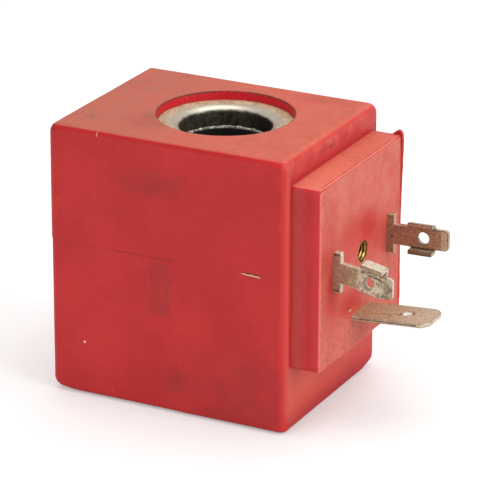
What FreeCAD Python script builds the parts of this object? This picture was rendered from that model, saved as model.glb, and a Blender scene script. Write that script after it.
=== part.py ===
import FreeCAD, Part
import math
import os
from types import SimpleNamespace

import Sketcher
from FreeCAD import Vector

# Encapsulated solenoid valve coil, in millimetres.
# The origin is on the axis of the bore, at the underside. +Z points up along the bore.
# +X points out of the connector base.

SIZES = [
    ("winding_depth", 4.7, "winding on the bobbin's tube"),
    ("bobbin_wall", 1.2, "wall of the bobbin's tube"),
    ("flange_margin", 1.0, "bobbin's flange outside of the winding"),
    ("flange_thickness", 1.6, "bobbin's flanges"),
    ("flange_flat", 0.4, "flat of the bobbin's flanges at the terminal carrier"),
    ("spigot_length", 0.8, "bobbin's spigots in the yoke's holes"),
    ("tape_thickness", 0.25, "wrap over the winding"),
    ("body_width", 30.4, "width of the moulded block"),
    ("body_height", 41.0, "height of the moulded block"),
    ("side_wall", 1.8, "moulding beside the bobbin's flanges"),
    ("front_wall", 2.4, "moulding in front of the terminal carrier"),
    ("yoke_back_wall", 1.8, "moulding behind the yoke"),
    ("yoke_side_wall", 2.2, "moulding beside the yoke"),
    ("corner_radius", 1.3, "radius of the upright edges"),
    ("top_edge_radius", 1.5, "radius of the top edges"),
    ("bottom_edge_bevel", 0.6, "bevel of the bottom edges"),
    ("parting_step", 0.08, "how far the upper half stands proud at the parting line"),
    ("base_thickness", 4.5, "connector base, out from the front face"),
    ("base_width", 27.2, "connector base, across"),
    ("base_height", 27.5, "connector base, upright"),
    ("base_top_margin", 3.8, "top of the block to the top of the connector base"),
    ("base_edge_radius", 0.3, "radius of the connector base's edges"),
    ("horn_length", 1.4, "flash horn along the base's top edge"),
    ("horn_height", 0.62, "flash horn above the base's top edge"),
    ("horn_width", 1.1, "flash horn across the base"),
    ("horn_sink", 0.1, "flash horn's root below the base's edge radius"),
    ("recess_reach", 3.75, "recess and the collar's flange in it, outside of the bore"),
    ("recess_depth", 1.3, "recess below the top face"),
    ("collar_step", 0.2, "upper collar's bore wider than the bobbin's"),
    ("collar_flange_thickness", 1.0, "sheet thickness of the upper collar"),
    ("collar_lip_radius", 1.8, "rolled lip of the upper collar"),
    ("bush_flange_reach", 3.1, "flange of the lower collar, outside of the bore"),
    ("bush_flange_thickness", 1.2, "flange of the lower collar"),
    ("yoke_gap", 2.35, "bobbin's flanges to the yoke's web"),
    ("yoke_thickness", 3.0, "steel strip of the yoke"),
    ("yoke_bend_radius", 3.6, "outer bend of the yoke"),
    ("carrier_thickness", 2.2, "terminal carrier"),
    ("carrier_side_step", 1.4, "yoke's side to the carrier's side"),
    ("window_width", 10.0, "flow windows of the terminal carrier"),
    ("window_height", 4.4, "flow windows of the terminal carrier"),
    ("window_margin", 2.4, "bobbin's flange to the flow window"),
    ("live_side_margin", 2.6, "carrier's side to the live terminal"),
    ("live_rise", 0.1, "live terminals' centre line above the base's centre"),
    ("live_sheet", 0.7, "sheet thickness of the live terminals"),
    ("live_bar_depth", 1.2, "T-bar, out from the base"),
    ("live_bar_height", 5.9, "T-bar"),
    ("live_neck", 2.55, "T-bar to the wings"),
    ("live_wing_length", 3.75, "wings, along the blade"),
    ("live_tip_length", 2.2, "wings to the blade's tip"),
    ("live_blade_height", 3.1, "blade of a live terminal"),
    ("live_tip_radius", 0.7, "corners of the blade's tip"),
    ("live_wing_height", 4.6, "over both wings"),
    ("live_wing_depth", 1.15, "wings, forward of the blade"),
    ("live_wing_sheet", 0.6, "wings' thickness after folding"),
    ("live_bend_radius", 0.5, "outer bend of a wing"),
    ("live_hole_place", 1.95, "hole's centre past the start of the wings"),
    ("live_hole_radius", 0.9, "hole of a live terminal"),
    ("live_leg_height", 4.0, "leg inside the moulding"),
    ("live_tail_height", 2.2, "solder tail behind the carrier"),
    ("live_tail_length", 2.0, "solder tail behind the carrier"),
    ("left_slope", -0.1, "fall of the bent left blade for each millimetre out"),
    ("right_slope", 0.03, "rise of the right blade for each millimetre out"),
    ("left_flap_height", 1.3, "left terminal's lower wing, pressed flat on the blade"),
    ("left_flap_thickness", 0.35, "left terminal's lower wing, pressed flat on the blade"),
    ("earth_drop", 9.0, "earth blade's middle below the base's centre"),
    ("earth_sheet", 0.8, "thickness of the folded earth blade"),
    ("earth_width", 6.3, "width of the earth blade"),
    ("earth_length", 11.9, "tip, out from the base"),
    ("earth_slope", 0.075, "rise of the earth blade for each millimetre out"),
    ("earth_tip_chamfer", 1.1, "corners of the earth blade's tip"),
    ("earth_hole_place", 7.6, "hole's centre, out from the base"),
    ("earth_hole_radius", 0.85, "hole of the earth blade"),
    ("earth_fold_gap", 0.12, "open side of the fold"),
    ("earth_fold_depth", 0.6, "open side of the fold"),
    ("earth_leg_width", 4.4, "leg down to the yoke"),
    ("earth_leg_overlap", 1.2, "leg's lower end below the rivet's axis"),
    ("earth_bend_radius", 1.2, "outer bend of the earth leg"),
    ("rivet_radius", 0.9, "shank of the earth rivet"),
    ("rivet_head_radius", 1.6, "head of the earth rivet"),
    ("rivet_head_height", 0.5, "head of the earth rivet"),
    ("rivet_grip", 1.7, "shank in the yoke's lower arm"),
    ("insert_offset", 0.5, "insert's axis off the base's centre, across"),
    ("insert_radius", 1.95, "outside of the insert"),
    ("insert_seat_depth", 1.5, "insert's end in the terminal carrier"),
    ("insert_nose_radius", 1.65, "insert's nose in the base's face"),
    ("insert_nose_length", 0.9, "insert's nose in the base's face"),
    ("insert_groove_width", 1.6, "waist between the insert's knurled bands"),
    ("insert_groove_depth", 0.35, "waist between the insert's knurled bands"),
    ("thread_radius", 1.25, "core hole of the M3 thread"),
    ("thread_end_wall", 1.4, "closed end of the insert behind the thread"),
    ("lead_radius", 0.25, "lead"),
    ("lead_offset", 5.0, "leads' slots in the bobbin's flange, across"),
    ("lead_gap", 0.65, "middle of a lead behind the carrier"),
    ("lead_rise", 0.75, "middle of a lead above the winding"),
    ("lead_straight", 4.1, "upright run of a lead before it turns to its terminal"),
    ("lead_end_rise", 2.5, "middle of a lead's last bend above the terminal's tail"),
    ("start_margin", 0.5, "start lead's foot outside of the bore, in X"),
    ("finish_margin", 1.5, "finish lead's foot inside of the winding's radius, in X"),
    ("sleeve_wall", 0.25, "insulating sleeve"),
    ("slot_clearance", 0.4, "flange slot round a lead"),
    ("solder_radius", 0.85, "foot of a solder joint"),
    ("solder_height", 0.7, "solder joint, above and below the tail's edge"),
    ("cut_over", 1.0, "how far an open cut's outline reaches past the piece"),
]


# Sides of the thin leads and their sleeves, and flats across the collar's rolled lip.
TUBE_SIDES = 12
LIP_FACETS = 4


class Size:
    """A length with the sheet expression that gives it."""

    def __init__(self, value, text):
        self.value = value
        self.text = text

    def __add__(self, other):
        other = as_size(other)
        return Size(self.value + other.value, f"({self.text} + {other.text})")

    def __radd__(self, other):
        return as_size(other) + self

    def __sub__(self, other):
        other = as_size(other)
        return Size(self.value - other.value, f"({self.text} - {other.text})")

    def __rsub__(self, other):
        return as_size(other) - self

    def __mul__(self, other):
        other = as_size(other)
        return Size(self.value * other.value, f"({self.text} * {other.text})")

    def __rmul__(self, other):
        return as_size(other) * self

    def __truediv__(self, other):
        other = as_size(other)
        return Size(self.value / other.value, f"({self.text} / {other.text})")

    def __neg__(self):
        return Size(-self.value, f"(0 - {self.text})")


def as_size(number):
    """A plain number as a Size; a Size stays as it is."""
    if isinstance(number, Size):
        return number
    return Size(float(number), repr(float(number)))


def fill_sheet(doc):
    """Write the driving dimensions to the sheet and return them by name."""
    sheet = doc.addObject("Spreadsheet::Sheet", "sizes")
    named = {}
    for row, (alias, value, note) in enumerate(SIZES, start=1):
        sheet.set(f"A{row}", alias)
        sheet.set(f"B{row}", str(value))
        sheet.setAlias(f"B{row}", alias)
        sheet.set(f"C{row}", note)
        named[alias] = Size(value, f"sizes.{alias}")
    doc.recompute()
    return SimpleNamespace(**named)


doc = FreeCAD.newDocument("solenoid_coil")
d = fill_sheet(doc)

# Levels and places that more than one piece shares. The widths run inwards from the block's
# width to the bore, and outwards again to the front and back.
collar_top = d.body_height - d.recess_depth
yoke_top = collar_top - d.collar_flange_thickness
upper_seat = yoke_top - d.yoke_thickness
yoke_bottom = d.bush_flange_thickness
lower_seat = yoke_bottom + d.yoke_thickness
flange_radius = d.body_width / 2 - d.side_wall
winding_radius = flange_radius - d.flange_margin
tube_radius = winding_radius - d.winding_depth
bore_radius = tube_radius - d.bobbin_wall
recess_radius = bore_radius + d.recess_reach
bush_flange_radius = bore_radius + d.bush_flange_reach
collar_bore_radius = bore_radius + d.collar_step
collar_end = upper_seat + d.spigot_length
bush_end = lower_seat - d.spigot_length
winding_top = upper_seat - d.flange_thickness
winding_bottom = lower_seat + d.flange_thickness
yoke_back = -(flange_radius + d.yoke_gap + d.yoke_thickness)
body_back = yoke_back - d.yoke_back_wall
yoke_width = d.body_width - 2 * d.yoke_side_wall
carrier_back = flange_radius - d.flange_flat
carrier_front = carrier_back + d.carrier_thickness
carrier_width = yoke_width - 2 * d.carrier_side_step
body_front = carrier_front + d.front_wall
base_face = body_front + d.base_thickness
base_top = d.body_height - d.base_top_margin
base_centre = base_top - d.base_height / 2
live_height = base_centre + d.live_rise
live_place = carrier_width / 2 - d.live_side_margin
earth_height = base_centre - d.earth_drop
rivet_height = (yoke_bottom + lower_seat) / 2
insert_back = carrier_front - d.insert_seat_depth
start_place = bore_radius + d.start_margin
finish_place = winding_radius - d.finish_margin


def new_body(label):
    """A PartDesign body for one piece."""
    body = doc.addObject("PartDesign::Body", label)
    body.Label = label
    return body


def sketch_on(body, name, role, offset=None):
    """A sketch on one of the body's own planes, moved along its normal."""
    plane = [f for f in body.Origin.OriginFeatures if f.Role == role][0]
    sketch = body.newObject("Sketcher::SketchObject", name)
    sketch.AttachmentSupport = (plane, [""])
    sketch.MapMode = "FlatFace"
    if offset is not None:
        sketch.setExpression("AttachmentOffset.Base.z", as_size(offset).text)
    return sketch


def pin_point(sketch, geometry, point, x, y):
    """Hold a point of the sketch at two named distances from its origin."""
    for kind, level, size in (("DistanceX", "Vertical", x), ("DistanceY", "Horizontal", y)):
        size = as_size(size)
        if size.value == 0:
            sketch.addConstraint(Sketcher.Constraint(level, geometry, point, -1, 1))
        else:
            index = sketch.addConstraint(
                Sketcher.Constraint(kind, -1, 1, geometry, point, size.value))
            sketch.setExpression(f"Constraints[{index}]", size.text)


def closed_outline(sketch, corners):
    """A closed outline of straight edges through named corners."""
    corners = [(as_size(x), as_size(y)) for x, y in corners]
    first = sketch.GeometryCount
    count = len(corners)
    for index, (x, y) in enumerate(corners):
        next_x, next_y = corners[(index + 1) % count]
        start = Vector(x.value, y.value, 0)
        end = Vector(next_x.value, next_y.value, 0)
        sketch.addGeometry(Part.LineSegment(start, end), False)
    for index, (x, y) in enumerate(corners):
        following = first + (index + 1) % count
        sketch.addConstraint(Sketcher.Constraint("Coincident", first + index, 2, following, 1))
        pin_point(sketch, first + index, 1, x, y)


def rectangle(sketch, left, right, low, high):
    """A rectangle between four named sides."""
    closed_outline(sketch, [(left, low), (right, low), (right, high), (left, high)])


def circle(sketch, x, y, radius):
    """A circle with a named centre and radius."""
    x, y, radius = as_size(x), as_size(y), as_size(radius)
    shape = Part.Circle(Vector(x.value, y.value, 0), Vector(0, 0, 1), radius.value)
    index = sketch.addGeometry(shape, False)
    pin_point(sketch, index, 3, x, y)
    bound = sketch.addConstraint(Sketcher.Constraint("Radius", index, radius.value))
    sketch.setExpression(f"Constraints[{bound}]", radius.text)


def pad(body, sketch, length, name, backwards=False, centred=False):
    """Pad the sketch; a centred pad grows both ways from its plane."""
    feature = body.newObject("PartDesign::Pad", name)
    feature.Profile = sketch
    feature.setExpression("Length", as_size(length).text)
    feature.Reversed = backwards
    if centred:
        feature.SideType = "Symmetric"
    doc.recompute()
    return feature


def pocket(body, sketch, length, name, backwards=False, centred=False):
    """Cut the sketch out of the body and check that material went."""
    before = body.Tip.Shape.Volume
    feature = body.newObject("PartDesign::Pocket", name)
    feature.Profile = sketch
    if length is None:
        feature.Type = "ThroughAll"
    else:
        feature.setExpression("Length", as_size(length).text)
    feature.Reversed = backwards
    if centred:
        feature.SideType = "Symmetric"
    doc.recompute()
    if feature.Shape.Volume >= before:
        raise RuntimeError(f"{body.Label}: {name} cuts nothing")
    return feature


def revolve(body, sketch, name, axis="V_Axis"):
    """Revolve the sketch a full turn about one of its axes."""
    feature = body.newObject("PartDesign::Revolution", name)
    feature.Profile = sketch
    feature.ReferenceAxis = (sketch, [axis])
    feature.Angle = 360
    doc.recompute()
    return feature


def edges_where(shape, test):
    """Names of the shape's edges that pass the test."""
    return [f"Edge{i}" for i, edge in enumerate(shape.Edges, start=1) if test(edge)]


def near(value, size):
    """Whether a coordinate lies at a named size."""
    return abs(value - as_size(size).value) < 1e-4


def all_at(edge, axis, size):
    """Whether the whole edge lies at one level of an axis."""
    box = edge.BoundBox
    return near(getattr(box, axis + "Min"), size) and near(getattr(box, axis + "Max"), size)


def round_edges(body, test, radius, name):
    """Fillet the edges of the body's last feature that pass the test."""
    base = body.Tip
    names = edges_where(base.Shape, test)
    if not names:
        raise RuntimeError(f"{body.Label}: no edge for {name}")
    feature = body.newObject("PartDesign::Fillet", name)
    feature.Base = (base, names)
    feature.setExpression("Radius", as_size(radius).text)
    doc.recompute()
    return feature


def bevel_edges(body, test, size, name):
    """Chamfer the edges of the body's last feature that pass the test."""
    base = body.Tip
    feature = body.newObject("PartDesign::Chamfer", name)
    feature.Base = (base, edges_where(base.Shape, test))
    feature.setExpression("Size", as_size(size).text)
    doc.recompute()
    return feature


def is_upright(edge):
    """Whether the edge is a straight one along Z."""
    box = edge.BoundBox
    return box.XLength < 1e-6 and box.YLength < 1e-6 and box.ZLength > 1e-3


def is_across(edge):
    """Whether the edge is a straight one along Y."""
    box = edge.BoundBox
    return box.XLength < 1e-6 and box.ZLength < 1e-6 and box.YLength > 1e-3


def make_shell():
    """The outside of the moulded housing, before the pieces inside are cut out of it."""
    body = new_body("housing_outside")
    step = d.parting_step
    lower = sketch_on(body, "lower_half_outline", "XY_Plane")
    rectangle(lower, body_back + step, body_front - step,
              -(d.body_width / 2 - step), d.body_width / 2 - step)
    pad(body, lower, base_centre, "lower_half")
    round_edges(body, is_upright, d.corner_radius, "lower_corners")
    bevel_edges(body, lambda e: all_at(e, "Z", 0), d.bottom_edge_bevel, "bottom_edges")
    upper = sketch_on(body, "upper_half_outline", "XY_Plane", base_centre)
    rectangle(upper, body_back, body_front, -d.body_width / 2, d.body_width / 2)
    pad(body, upper, d.body_height - base_centre, "upper_half")
    round_edges(body, lambda e: is_upright(e) and near(e.BoundBox.ZMax, d.body_height),
                d.corner_radius, "upper_corners")
    round_edges(body, lambda e: all_at(e, "Z", d.body_height), d.top_edge_radius, "top_edges")
    base = sketch_on(body, "connector_base_outline", "YZ_Plane", base_face)
    rectangle(base, -d.base_width / 2, d.base_width / 2,
              base_top - d.base_height, base_top)
    pad(body, base, d.base_thickness + d.parting_step, "connector_base", backwards=True)
    round_edges(body, lambda e: all_at(e, "X", base_face), d.base_edge_radius, "base_edges")
    horn = sketch_on(body, "flash_horn_outline", "XZ_Plane", -(d.base_width / 2))
    horn_root = d.base_edge_radius + d.horn_sink
    closed_outline(horn, [
        (base_face - d.horn_length, base_top),
        (base_face - d.horn_length, base_top - horn_root),
        (base_face - d.base_edge_radius, base_top - horn_root),
        (base_face - d.base_edge_radius, base_top + d.horn_height)])
    pad(body, horn, d.horn_width, "flash_horn")
    recess = sketch_on(body, "recess_outline", "XY_Plane", d.body_height)
    circle(recess, 0, 0, recess_radius)
    pocket(body, recess, d.body_height - yoke_top, "bore_recess")
    bore = sketch_on(body, "bore_outline", "XY_Plane", d.body_height)
    circle(bore, 0, 0, tube_radius)
    pocket(body, bore, None, "bore_space")
    core_hole = sketch_on(body, "screw_hole_outline", "YZ_Plane", base_face)
    circle(core_hole, d.insert_offset, base_centre, d.thread_radius)
    pocket(body, core_hole, base_face - insert_back - d.thread_end_wall, "screw_hole")
    return body


def make_bobbin():
    """The spool: a tube with two flanges, spigots in the yoke's holes and slots for the leads."""
    body = new_body("bobbin")
    profile = sketch_on(body, "spool_profile", "XZ_Plane")
    closed_outline(profile, [
        (bore_radius, bush_end),
        (tube_radius, bush_end),
        (tube_radius, lower_seat),
        (flange_radius, lower_seat),
        (flange_radius, winding_bottom),
        (tube_radius, winding_bottom),
        (tube_radius, winding_top),
        (flange_radius, winding_top),
        (flange_radius, upper_seat),
        (tube_radius, upper_seat),
        (tube_radius, collar_end),
        (bore_radius, collar_end)])
    revolve(body, profile, "spool")
    flat = sketch_on(body, "flange_flat_outline", "XY_Plane", upper_seat)
    rectangle(flat, carrier_back, flange_radius + d.cut_over, -flange_radius, flange_radius)
    pocket(body, flat, None, "flange_flat")
    half_slot = d.lead_radius + d.slot_clearance
    for name, side, foot in (("start", 1, start_place), ("finish", -1, finish_place)):
        slot = sketch_on(body, name + "_slot_outline", "XY_Plane", winding_top)
        rectangle(slot, foot - half_slot, flange_radius + d.cut_over,
                  side * d.lead_offset - half_slot, side * d.lead_offset + half_slot)
        pocket(body, slot, d.lead_rise + half_slot, name + "_slot", backwards=True)
    return body


def make_ring(label, inner, outer, low, high):
    """A plain ring about the bore's axis."""
    body = new_body(label)
    profile = sketch_on(body, label + "_profile", "XZ_Plane")
    rectangle(profile, inner, outer, low, high)
    revolve(body, profile, label + "_ring")
    return body


def make_upper_collar():
    """The drawn ring in the top recess, with the lip rolled into the bore."""
    body = new_body("upper_flux_collar")
    profile = sketch_on(body, "collar_profile", "XZ_Plane")
    lip = []
    for step in range(LIP_FACETS + 1):
        angle = math.pi / 2 * step / LIP_FACETS
        lip.append((collar_bore_radius + d.collar_lip_radius * (1 - math.sin(angle)),
                    collar_top - d.collar_lip_radius * (1 - math.cos(angle))))
    closed_outline(profile, [
        (collar_bore_radius, collar_end),
        (tube_radius, collar_end),
        (tube_radius, yoke_top),
        (recess_radius, yoke_top),
        (recess_radius, collar_top)] + lip)
    revolve(body, profile, "collar")
    return body


def make_lower_collar():
    """The turned bush under the bobbin, flush with the underside."""
    body = new_body("lower_flux_collar")
    profile = sketch_on(body, "bush_profile", "XZ_Plane")
    closed_outline(profile, [
        (bore_radius, 0),
        (bush_flange_radius, 0),
        (bush_flange_radius, yoke_bottom),
        (tube_radius, yoke_bottom),
        (tube_radius, bush_end),
        (bore_radius, bush_end)])
    revolve(body, profile, "bush")
    return body


def make_yoke():
    """The steel strip bent to a C, with a hole in each arm and one for the earth rivet."""
    body = new_body("yoke_frame")
    inside = yoke_back + d.yoke_thickness
    profile = sketch_on(body, "strip_profile", "XZ_Plane")
    closed_outline(profile, [
        (yoke_back, yoke_bottom),
        (carrier_front, yoke_bottom),
        (carrier_front, lower_seat),
        (inside, lower_seat),
        (inside, upper_seat),
        (carrier_front, upper_seat),
        (carrier_front, yoke_top),
        (yoke_back, yoke_top)])
    pad(body, profile, yoke_width, "bent_strip", centred=True)
    round_edges(body,
                lambda e: all_at(e, "X", yoke_back) and is_across(e),
                d.yoke_bend_radius, "outer_bends")
    round_edges(body,
                lambda e: all_at(e, "X", inside) and is_across(e),
                d.yoke_bend_radius - d.yoke_thickness, "inner_bends")
    hole = sketch_on(body, "arm_hole_outline", "XY_Plane", yoke_top)
    circle(hole, 0, 0, tube_radius)
    pocket(body, hole, None, "arm_holes")
    rivet_hole = sketch_on(body, "rivet_hole_outline", "YZ_Plane", carrier_front)
    circle(rivet_hole, 0, rivet_height, d.rivet_radius)
    pocket(body, rivet_hole, d.rivet_grip, "rivet_hole")
    return body


def make_carrier():
    """The plate between the yoke's arms that holds the terminals and the insert."""
    body = new_body("terminal_carrier")
    plate = sketch_on(body, "carrier_outline", "YZ_Plane", carrier_back)
    rectangle(plate, -carrier_width / 2, carrier_width / 2, lower_seat, upper_seat)
    pad(body, plate, d.carrier_thickness, "carrier_plate")
    slots = sketch_on(body, "leg_slot_outlines", "YZ_Plane", carrier_front)
    for side in (-1, 1):
        rectangle(slots,
                  side * live_place - d.live_sheet / 2,
                  side * live_place + d.live_sheet / 2,
                  live_height - d.live_leg_height / 2,
                  live_height + d.live_leg_height / 2)
    pocket(body, slots, None, "leg_slots")
    windows = sketch_on(body, "flow_window_outlines", "YZ_Plane", carrier_front)
    low = winding_bottom + d.window_margin
    high = winding_top - d.window_margin
    rectangle(windows, -d.window_width / 2, d.window_width / 2, low, low + d.window_height)
    rectangle(windows, -d.window_width / 2, d.window_width / 2, high - d.window_height, high)
    pocket(body, windows, None, "flow_windows")
    seat = sketch_on(body, "insert_seat_outline", "YZ_Plane", carrier_front)
    circle(seat, d.insert_offset, base_centre, d.insert_radius)
    pocket(body, seat, d.insert_seat_depth, "insert_seat")
    return body


def make_insert():
    """The brass insert: two knurled bands with a waist between, and the thread's core hole."""
    body = new_body("screw_insert")
    profile = sketch_on(body, "insert_profile", "XZ_Plane", -d.insert_offset)
    back = insert_back
    axis = base_centre
    waist = (insert_back + base_face) / 2
    waist_radius = d.insert_radius - d.insert_groove_depth
    closed_outline(profile, [
        (back, axis),
        (back, axis + d.insert_radius),
        (waist - d.insert_groove_width / 2, axis + d.insert_radius),
        (waist - d.insert_groove_width / 2, axis + waist_radius),
        (waist + d.insert_groove_width / 2, axis + waist_radius),
        (waist + d.insert_groove_width / 2, axis + d.insert_radius),
        (base_face - d.insert_nose_length, axis + d.insert_radius),
        (base_face - d.insert_nose_length, axis + d.insert_nose_radius),
        (base_face, axis + d.insert_nose_radius),
        (base_face, axis + d.thread_radius),
        (insert_back + d.thread_end_wall, axis + d.thread_radius),
        (insert_back + d.thread_end_wall, axis)])
    centre = Part.LineSegment(Vector(back.value, axis.value, 0),
                              Vector(base_face.value, axis.value, 0))
    index = profile.addGeometry(centre, True)
    pin_point(profile, index, 1, back, axis)
    pin_point(profile, index, 2, base_face, axis)
    revolve(body, profile, "insert_turned", axis="Axis0")
    return body


def make_live_terminal(label, side, slope, both_wings):
    """A live terminal: solder tail, leg, T-bar, and a blade with folded wings and a hole."""
    body = new_body(label)
    axis = live_height
    middle = side * live_place
    front = middle - d.live_sheet / 2
    back = middle + d.live_sheet / 2
    tail_end = carrier_back - d.live_tail_length
    bar_face = base_face + d.live_bar_depth
    wing_start = bar_face + d.live_neck
    wing_end = wing_start + d.live_wing_length
    tip = wing_end + d.live_tip_length

    def line(x):
        return axis + slope * (x - bar_face)

    half_blade = d.live_blade_height / 2
    half_leg = d.live_leg_height / 2
    half_bar = d.live_bar_height / 2
    half_tail = d.live_tail_height / 2
    half_wing = d.live_wing_height / 2
    lower_edge = [
        (wing_start, line(wing_start) - half_blade),
        (wing_start, line(wing_start) - half_wing),
        (wing_end, line(wing_end) - half_wing),
        (wing_end, line(wing_end) - half_blade)] if both_wings else []
    flat = sketch_on(body, "blank_outline", "XZ_Plane", -back)
    closed_outline(flat, [
        (tail_end, axis - half_tail),
        (carrier_back, axis - half_tail),
        (carrier_back, axis - half_leg),
        (base_face, axis - half_leg),
        (base_face, axis - half_bar),
        (bar_face, axis - half_bar),
        (bar_face, axis - half_blade)] + lower_edge + [
        (tip, line(tip) - half_blade),
        (tip, line(tip) + half_blade),
        (wing_end, line(wing_end) + half_blade),
        (wing_end, line(wing_end) + half_wing),
        (wing_start, line(wing_start) + half_wing),
        (wing_start, line(wing_start) + half_blade),
        (bar_face, axis + half_blade),
        (bar_face, axis + half_bar),
        (base_face, axis + half_bar),
        (base_face, axis + half_leg),
        (carrier_back, axis + half_leg),
        (carrier_back, axis + half_tail),
        (tail_end, axis + half_tail)])
    pad(body, flat, d.live_sheet, "blank")
    round_edges(body,
                lambda e: all_at(e, "X", tip) and e.BoundBox.ZLength < 1e-3,
                d.live_tip_radius, "tip_corners")
    for name, way in (("upper", 1), ("lower", -1)):
        wing = sketch_on(body, name + "_wing_outline", "XZ_Plane", -front)
        if way > 0 or both_wings:
            root = way * (half_wing - d.live_wing_sheet)
            edge = way * half_wing
            depth = d.live_wing_depth
        else:
            root = -half_blade
            edge = d.left_flap_height - half_blade
            depth = d.left_flap_thickness
        closed_outline(wing, [
            (wing_start, line(wing_start) + root),
            (wing_end, line(wing_end) + root),
            (wing_end, line(wing_end) + edge),
            (wing_start, line(wing_start) + edge)])
        pad(body, wing, depth, name + "_wing")

    def is_wing_bend(edge):
        ends_at_wing = near(edge.BoundBox.XMin, wing_start) and near(edge.BoundBox.XMax, wing_end)
        off_axis = abs(edge.CenterOfMass.z - line((wing_start + wing_end) / 2).value)
        return all_at(edge, "Y", back) and ends_at_wing and off_axis > half_blade.value

    round_edges(body, is_wing_bend, d.live_bend_radius, "wing_bends")
    hole = sketch_on(body, "hole_outline", "XZ_Plane", -(back + d.cut_over))
    place = wing_start + d.live_hole_place
    circle(hole, place, line(place), d.live_hole_radius)
    pocket(body, hole, None, "hole", backwards=True)
    return body


def make_earth_terminal():
    """The earth blade, folded from sheet, with a leg bent down to the yoke's lower arm."""
    body = new_body("earth_terminal")
    half = d.earth_sheet / 2
    tip = base_face + d.earth_length
    rise = d.earth_slope * d.earth_length
    leg_end = rivet_height - d.earth_leg_overlap
    leg_face = carrier_front + d.earth_sheet
    profile = sketch_on(body, "side_profile", "XZ_Plane")
    closed_outline(profile, [
        (carrier_front, leg_end),
        (leg_face, leg_end),
        (leg_face, earth_height - half),
        (base_face, earth_height - half),
        (tip, earth_height - half + rise),
        (tip, earth_height + half + rise),
        (base_face, earth_height + half),
        (carrier_front, earth_height + half)])
    pad(body, profile, d.earth_width, "bent_blade", centred=True)
    round_edges(body,
                lambda e: all_at(e, "X", carrier_front) and all_at(e, "Z", earth_height + half),
                d.earth_bend_radius, "outer_bend")
    round_edges(body,
                lambda e: all_at(e, "X", leg_face) and all_at(e, "Z", earth_height - half),
                d.earth_bend_radius - d.earth_sheet, "inner_bend")
    sides = sketch_on(body, "leg_side_outlines", "YZ_Plane", leg_face)
    shoulder = earth_height - half - d.earth_bend_radius
    for way in (-1, 1):
        rectangle(sides, way * d.earth_leg_width / 2, way * (d.earth_width / 2 + d.cut_over),
                  leg_end - d.cut_over, shoulder)
    pocket(body, sides, None, "leg_sides")
    corners = sketch_on(body, "tip_corner_outlines", "XY_Plane", earth_height - d.earth_sheet)
    for way in (-1, 1):
        closed_outline(corners, [
            (tip - d.earth_tip_chamfer, way * d.earth_width / 2),
            (tip - d.earth_tip_chamfer, way * (d.earth_width / 2 + d.cut_over)),
            (tip + d.cut_over, way * (d.earth_width / 2 + d.cut_over)),
            (tip + d.cut_over, way * (d.earth_width / 2 - d.earth_tip_chamfer - d.cut_over)),
            (tip, way * (d.earth_width / 2 - d.earth_tip_chamfer))])
    pocket(body, corners, None, "tip_corners", backwards=True)
    hole = sketch_on(body, "blade_hole_outline", "XY_Plane", earth_height - d.earth_sheet)
    circle(hole, base_face + d.earth_hole_place, 0, d.earth_hole_radius)
    pocket(body, hole, None, "blade_hole", backwards=True)
    gap = sketch_on(body, "fold_gap_outline", "XZ_Plane", d.earth_width / 2)
    end = tip - 2 * d.earth_tip_chamfer
    end_rise = d.earth_slope * (end - base_face)
    closed_outline(gap, [
        (base_face, earth_height - d.earth_fold_gap / 2),
        (end, earth_height - d.earth_fold_gap / 2 + end_rise),
        (end, earth_height + d.earth_fold_gap / 2 + end_rise),
        (base_face, earth_height + d.earth_fold_gap / 2)])
    pocket(body, gap, d.earth_fold_depth, "fold_gap")
    rivet_hole = sketch_on(body, "leg_hole_outline", "YZ_Plane", leg_face)
    circle(rivet_hole, 0, rivet_height, d.rivet_radius)
    pocket(body, rivet_hole, d.earth_sheet, "leg_hole")
    return body


def make_rivet():
    """The rivet through the earth leg into the yoke's lower arm."""
    body = new_body("earth_rivet")
    leg_face = carrier_front + d.earth_sheet
    axis = rivet_height
    profile = sketch_on(body, "rivet_profile", "XZ_Plane")
    back = carrier_front - d.rivet_grip
    head = leg_face + d.rivet_head_height
    closed_outline(profile, [
        (back, axis),
        (back, axis + d.rivet_radius),
        (leg_face, axis + d.rivet_radius),
        (leg_face, axis + d.rivet_head_radius),
        (leg_face + d.rivet_head_height / 2, axis + d.rivet_head_radius),
        (head, axis + d.rivet_radius),
        (head, axis)])
    centre = Part.LineSegment(Vector(back.value, axis.value, 0),
                              Vector(head.value, axis.value, 0))
    index = profile.addGeometry(centre, True)
    pin_point(profile, index, 1, back, axis)
    pin_point(profile, index, 2, head, axis)
    revolve(body, profile, "rivet_turned", axis="Axis0")
    return body


def tube_along(points, radius):
    """A many-sided solid with mitred corners through the points; the first run is upright."""
    corners = []
    for index in range(TUBE_SIDES + 1):
        angle = 2 * math.pi * index / TUBE_SIDES
        corners.append(points[0] + Vector(radius * math.cos(angle), radius * math.sin(angle), 0))
    section = Part.makePolygon(corners)
    return Part.makePolygon(points).makePipeShell([section], True, False, 1)


def lead_route(side, foot):
    """Points of a lead from the winding's end face to the terminal's solder tail."""
    behind = carrier_back.value - d.lead_gap.value
    top = winding_top.value + d.lead_rise.value
    tail_top = live_height.value + d.live_tail_height.value / 2
    tail_middle = carrier_back.value - d.live_tail_length.value / 2
    across = side * d.lead_offset.value
    outer = side * live_place.value
    return [Vector(foot.value, across, winding_top.value),
            Vector(foot.value, across, top),
            Vector(behind, across, top),
            Vector(behind, across, top - d.lead_straight.value),
            Vector(tail_middle, outer, tail_top + d.lead_end_rise.value),
            Vector(tail_middle, outer, tail_top)]


def add_solid(label, shape):
    """A piece whose shape is worked out here from the named sizes."""
    feature = doc.addObject("Part::Feature", label)
    feature.Label = label
    feature.Shape = shape
    return feature


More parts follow.
